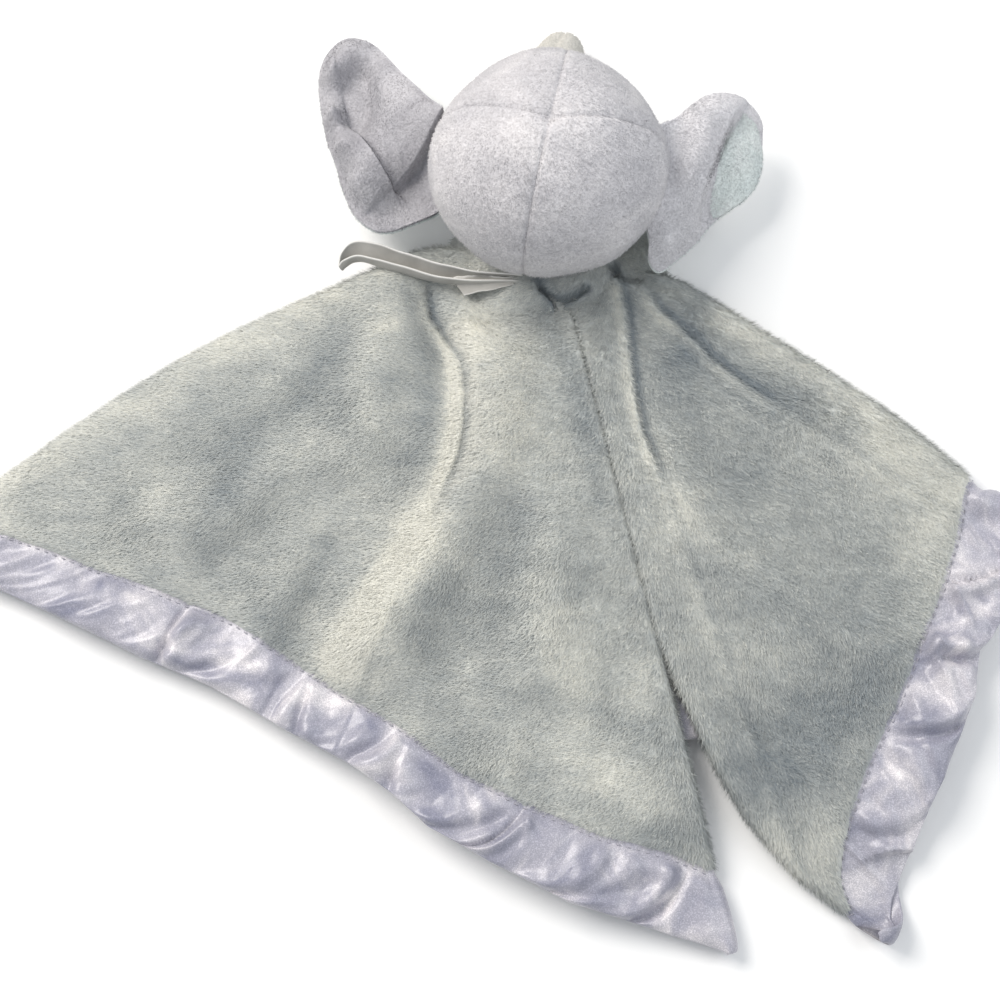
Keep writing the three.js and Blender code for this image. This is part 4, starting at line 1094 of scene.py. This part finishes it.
def spline(points, t):
    """A smooth curve through points, evenly parted, at shares t."""
    p = np.array(points, float)
    ends = np.vstack([2 * p[0] - p[1], p, 2 * p[-1] - p[-2]])
    at = np.clip(t, 0, 1) * (len(p) - 1)
    i = np.minimum(at.astype(int), len(p) - 2)
    f = (at - i)[..., None]
    a, b, c, d = (ends[i + k] for k in range(4))
    return 0.5 * (2 * b + (c - a) * f + (2 * a - 5 * b + 4 * c - d) * f ** 2 + (3 * b - a - 3 * c + d) * f ** 3)


def ear_plan(side, along, out):
    """Places in plan between the root seam on the head and the outline."""
    outline = EAR_OUTLINES[side]
    first, last = np.array(outline[0], float), np.array(outline[-1], float)
    root = lerp(first, last, along[..., None])
    inward = np.sin(math.pi * along)[..., None] * np.array((5.0 if side == "left" else -5.0, 0, 0))
    return lerp(root + inward, spline(outline, along), out[..., None])


def ear_layer(name, side, high, low, material):
    """One cloth of an ear between two depths under its surface, its edge turned in round the rim."""
    count = 60 * FINE
    along = np.linspace(0, 1, 2 * count)
    out = 1 - (1 - np.linspace(0, 1, count)) ** 1.4
    along, out = grid(along, out)
    plan = ear_plan(side, along, out)
    plan[..., 2] = ear_heights(side)(plan)
    rounding = np.sqrt(np.clip(1 - out ** 10, 0, 1))
    middle = (high + low) / 2
    top, bottom = plan.copy(), plan.copy()
    top[..., 2] += middle + (high - middle) * rounding
    bottom[..., 2] += middle + (low - middle) * rounding
    rings = np.concatenate([top, bottom[:, ::-1]], axis=1)
    return make_grid(name, rings, False, material)


def dish(name, material):
    """The lining where the right ear's fold leaves it open to view."""
    count = 50 * FINE
    edge = np.array(DISH, float)
    middle = edge.mean(0)
    along, out = grid(np.linspace(0, 1, count), np.linspace(0, 1, count // 2))
    rim = spline([(*p, 0) for p in edge] + [(*edge[0], 0)], along)
    plan = lerp(np.array((*middle, 0)), rim, out[..., None])
    plan[..., 2] = ear_heights("right")(plan) + 0.6 - 0.9 * out ** 6
    under = plan.copy()
    under[..., 2] -= 1.0
    rings = np.concatenate([plan[:-1], under[:-1, ::-1]], axis=1)
    return make_grid(name, rings, True, material)


def nap_on_ear(points):
    flat = np.stack([np.sign(points[:, 0]), -0.9 + 0 * points[:, 0], 0 * points[:, 0]], 1)
    return flat + 1.2 * np.stack([fractal(points, 16.0, 2, s) for s in (23.0, 24.0, 25.0)], 1)


def make_ears():
    # The right ear wears the lighter copy of the ear cloth, as painted light.
    for side, seed, outer in (("left", 61, ear_plush), ("right", 62, ear_plush_painted_lit)):
        for node, high, low, material, slot, blades in (
                (f"{side}_ear_outer", 0.0, -1.7, outer, "ear_plush", 15000),
                (f"{side}_ear_lining", -1.9, -3.6, ear_lining, "ear_lining", 5000)):
            place = (f"{side}_ear", slot)
            piece = belongs(ear_layer(f"{node}_plush", side, high, low, material), *place, node, EAR_FILL)
            pile(f"{node}_nap", piece, place, nap_on_ear, material, seed, blades, 0.9, 0.28)
    place = ("right_ear", "ear_lining")
    patch = belongs(dish("right_ear_dish", ear_lining), *place)
    pile("right_ear_dish_nap", patch, place, nap_on_ear, ear_lining, 64, 5000, 0.9, 0.28)


# The labels: a folded tape whose two leaves stand on edge, and the tip of a short one under it
TAPE = 0.5
CARE_PATH = {
    "back_top": ((-11, -14, 13.5), (-26, -12.4, 14.8), (-36, -10.0, 15.2), (-44, -7.8, 15.2), (-53, -4.8, 15.2),
                 (-60, -1.8, 15.2), (-66, 0.0, 15.2), (-71, -0.8, 15), (-74, -4.6, 14.2), (-75, -8, 12.6)),
    "back_low": ((-11, -15, 9), (-26, -14.5, 9), (-36, -14, 10), (-45, -12, 10), (-54, -9, 10), (-61, -7, 11),
                 (-66, -5, 12), (-70, -5, 12), (-72.5, -7, 11), (-73.5, -9, 11)),
    "front_top": ((-11, -15.4, 12), (-26, -15.0, 13.6), (-36, -14.2, 14.4), (-45, -12.3, 14.6), (-54, -9.4, 14.6),
                  (-61, -7.2, 14.8), (-66, -5.3, 14.8), (-70, -5.2, 14.4), (-73.5, -7.0, 13.6), (-75, -8.3, 12.6)),
    "front_low": ((-11, -15.8, 9), (-26, -15.3, 9), (-36, -14.8, 9.5), (-45, -12.8, 9.5), (-54, -9.9, 9.5),
                  (-61, -7.9, 10), (-66, -6.2, 10.5), (-70, -6.2, 10.5), (-72.5, -7.8, 10.5), (-73.7, -9.2, 10.7)),
}


def leaf(name, top, low, bulge, body, node=None):
    """One leaf of tape between two edges, a little bowed across its width."""
    along, across = grid(np.linspace(0, 1, 60 * FINE), np.linspace(0, 1, 12 * FINE))
    surface = lerp(spline(low, along), spline(top, along), across[..., None])
    ripple = 0.3 * np.sin(along * 13 + across * 2) + 0.1 * np.sin(along * 37)
    surface[..., 1] += (bulge * np.sin(math.pi * across) + ripple * (0.3 + 0.7 * across))
    normal = unit(np.cross(np.gradient(surface, axis=0), np.gradient(surface, axis=1)))
    rings = np.concatenate([surface + normal * TAPE / 2, (surface - normal * TAPE / 2)[:, ::-1]], axis=1)
    belongs(make_grid(name, rings, False, label_tape), body, "label_tape", node)


def make_labels():
    leaf("care_label_back", CARE_PATH["back_top"], CARE_PATH["back_low"], 0.6, "care_label", "care_label")
    leaf("care_label_front", CARE_PATH["front_top"], CARE_PATH["front_low"], -0.5, "care_label")
    leaf("small_label_leaf", ((-14, -14, 12), (-22, -13, 12), (-29, -12.5, 12), (-36, -13.5, 11.2)),
         ((-14, -16.5, 11.4), (-22, -18, 11), (-27, -18.6, 10.6), (-31.5, -19.5, 10.2)), 0.0, "blanket", "small_label")


# Floor and light
FLOOR_HALF = 2.0
AIM = Vector((0, -0.08, 0.02))
SKY, SKY_STRENGTH = (0.93, 0.965, 1.0, 1.0), 0.55


def make_floor():
    mesh = bpy.data.meshes.new("floor")
    mesh.from_pydata([(x * FLOOR_HALF, y * FLOOR_HALF, 0) for x, y in ((-1, -1), (1, -1), (1, 1), (-1, 1))], [],
                     [(0, 1, 2, 3)])
    floor = link(bpy.data.objects.new("floor", mesh))
    m = Nodes("floor", 0.9)
    seen = m.add("ShaderNodeLightPath").outputs["Is Camera Ray"]
    mesh.materials.append(m.done(m.mix(seen, (0.82, 0.82, 0.82), (1.0, 1.0, 1.0))))


def make_light(name, place, size, power, colour):
    data = bpy.data.lights.new(name, "AREA")
    data.size, data.energy, data.color = size, power, colour
    at = Vector(place)
    lamp = link(bpy.data.objects.new(name, data))
    lamp.matrix_world = Matrix.Translation(at) @ (at - AIM).to_track_quat("Z", "Y").to_matrix().to_4x4()


def make_world():
    world = bpy.data.worlds.new("studio")
    world.use_nodes = True
    background = world.node_tree.nodes["Background"]
    background.inputs["Color"].default_value = SKY
    background.inputs["Strength"].default_value = SKY_STRENGTH
    bpy.context.scene.world = world


make_camera()
make_world()
make_floor()
make_light("key", (-0.8, 0.52, 1.1), 0.8, 18.0, (1.0, 0.955, 0.90))
make_light("fill", (0.9, 0.0, 0.9), 1.0, 4.2, (0.94, 0.97, 1.0))
make_blanket()
make_head()
make_head_inside()
make_eyes()
make_neck_seam()
make_trunk()
make_ears()
make_labels()

bpy.context.scene.view_settings.view_transform = "Standard"
bpy.context.view_layer.update()
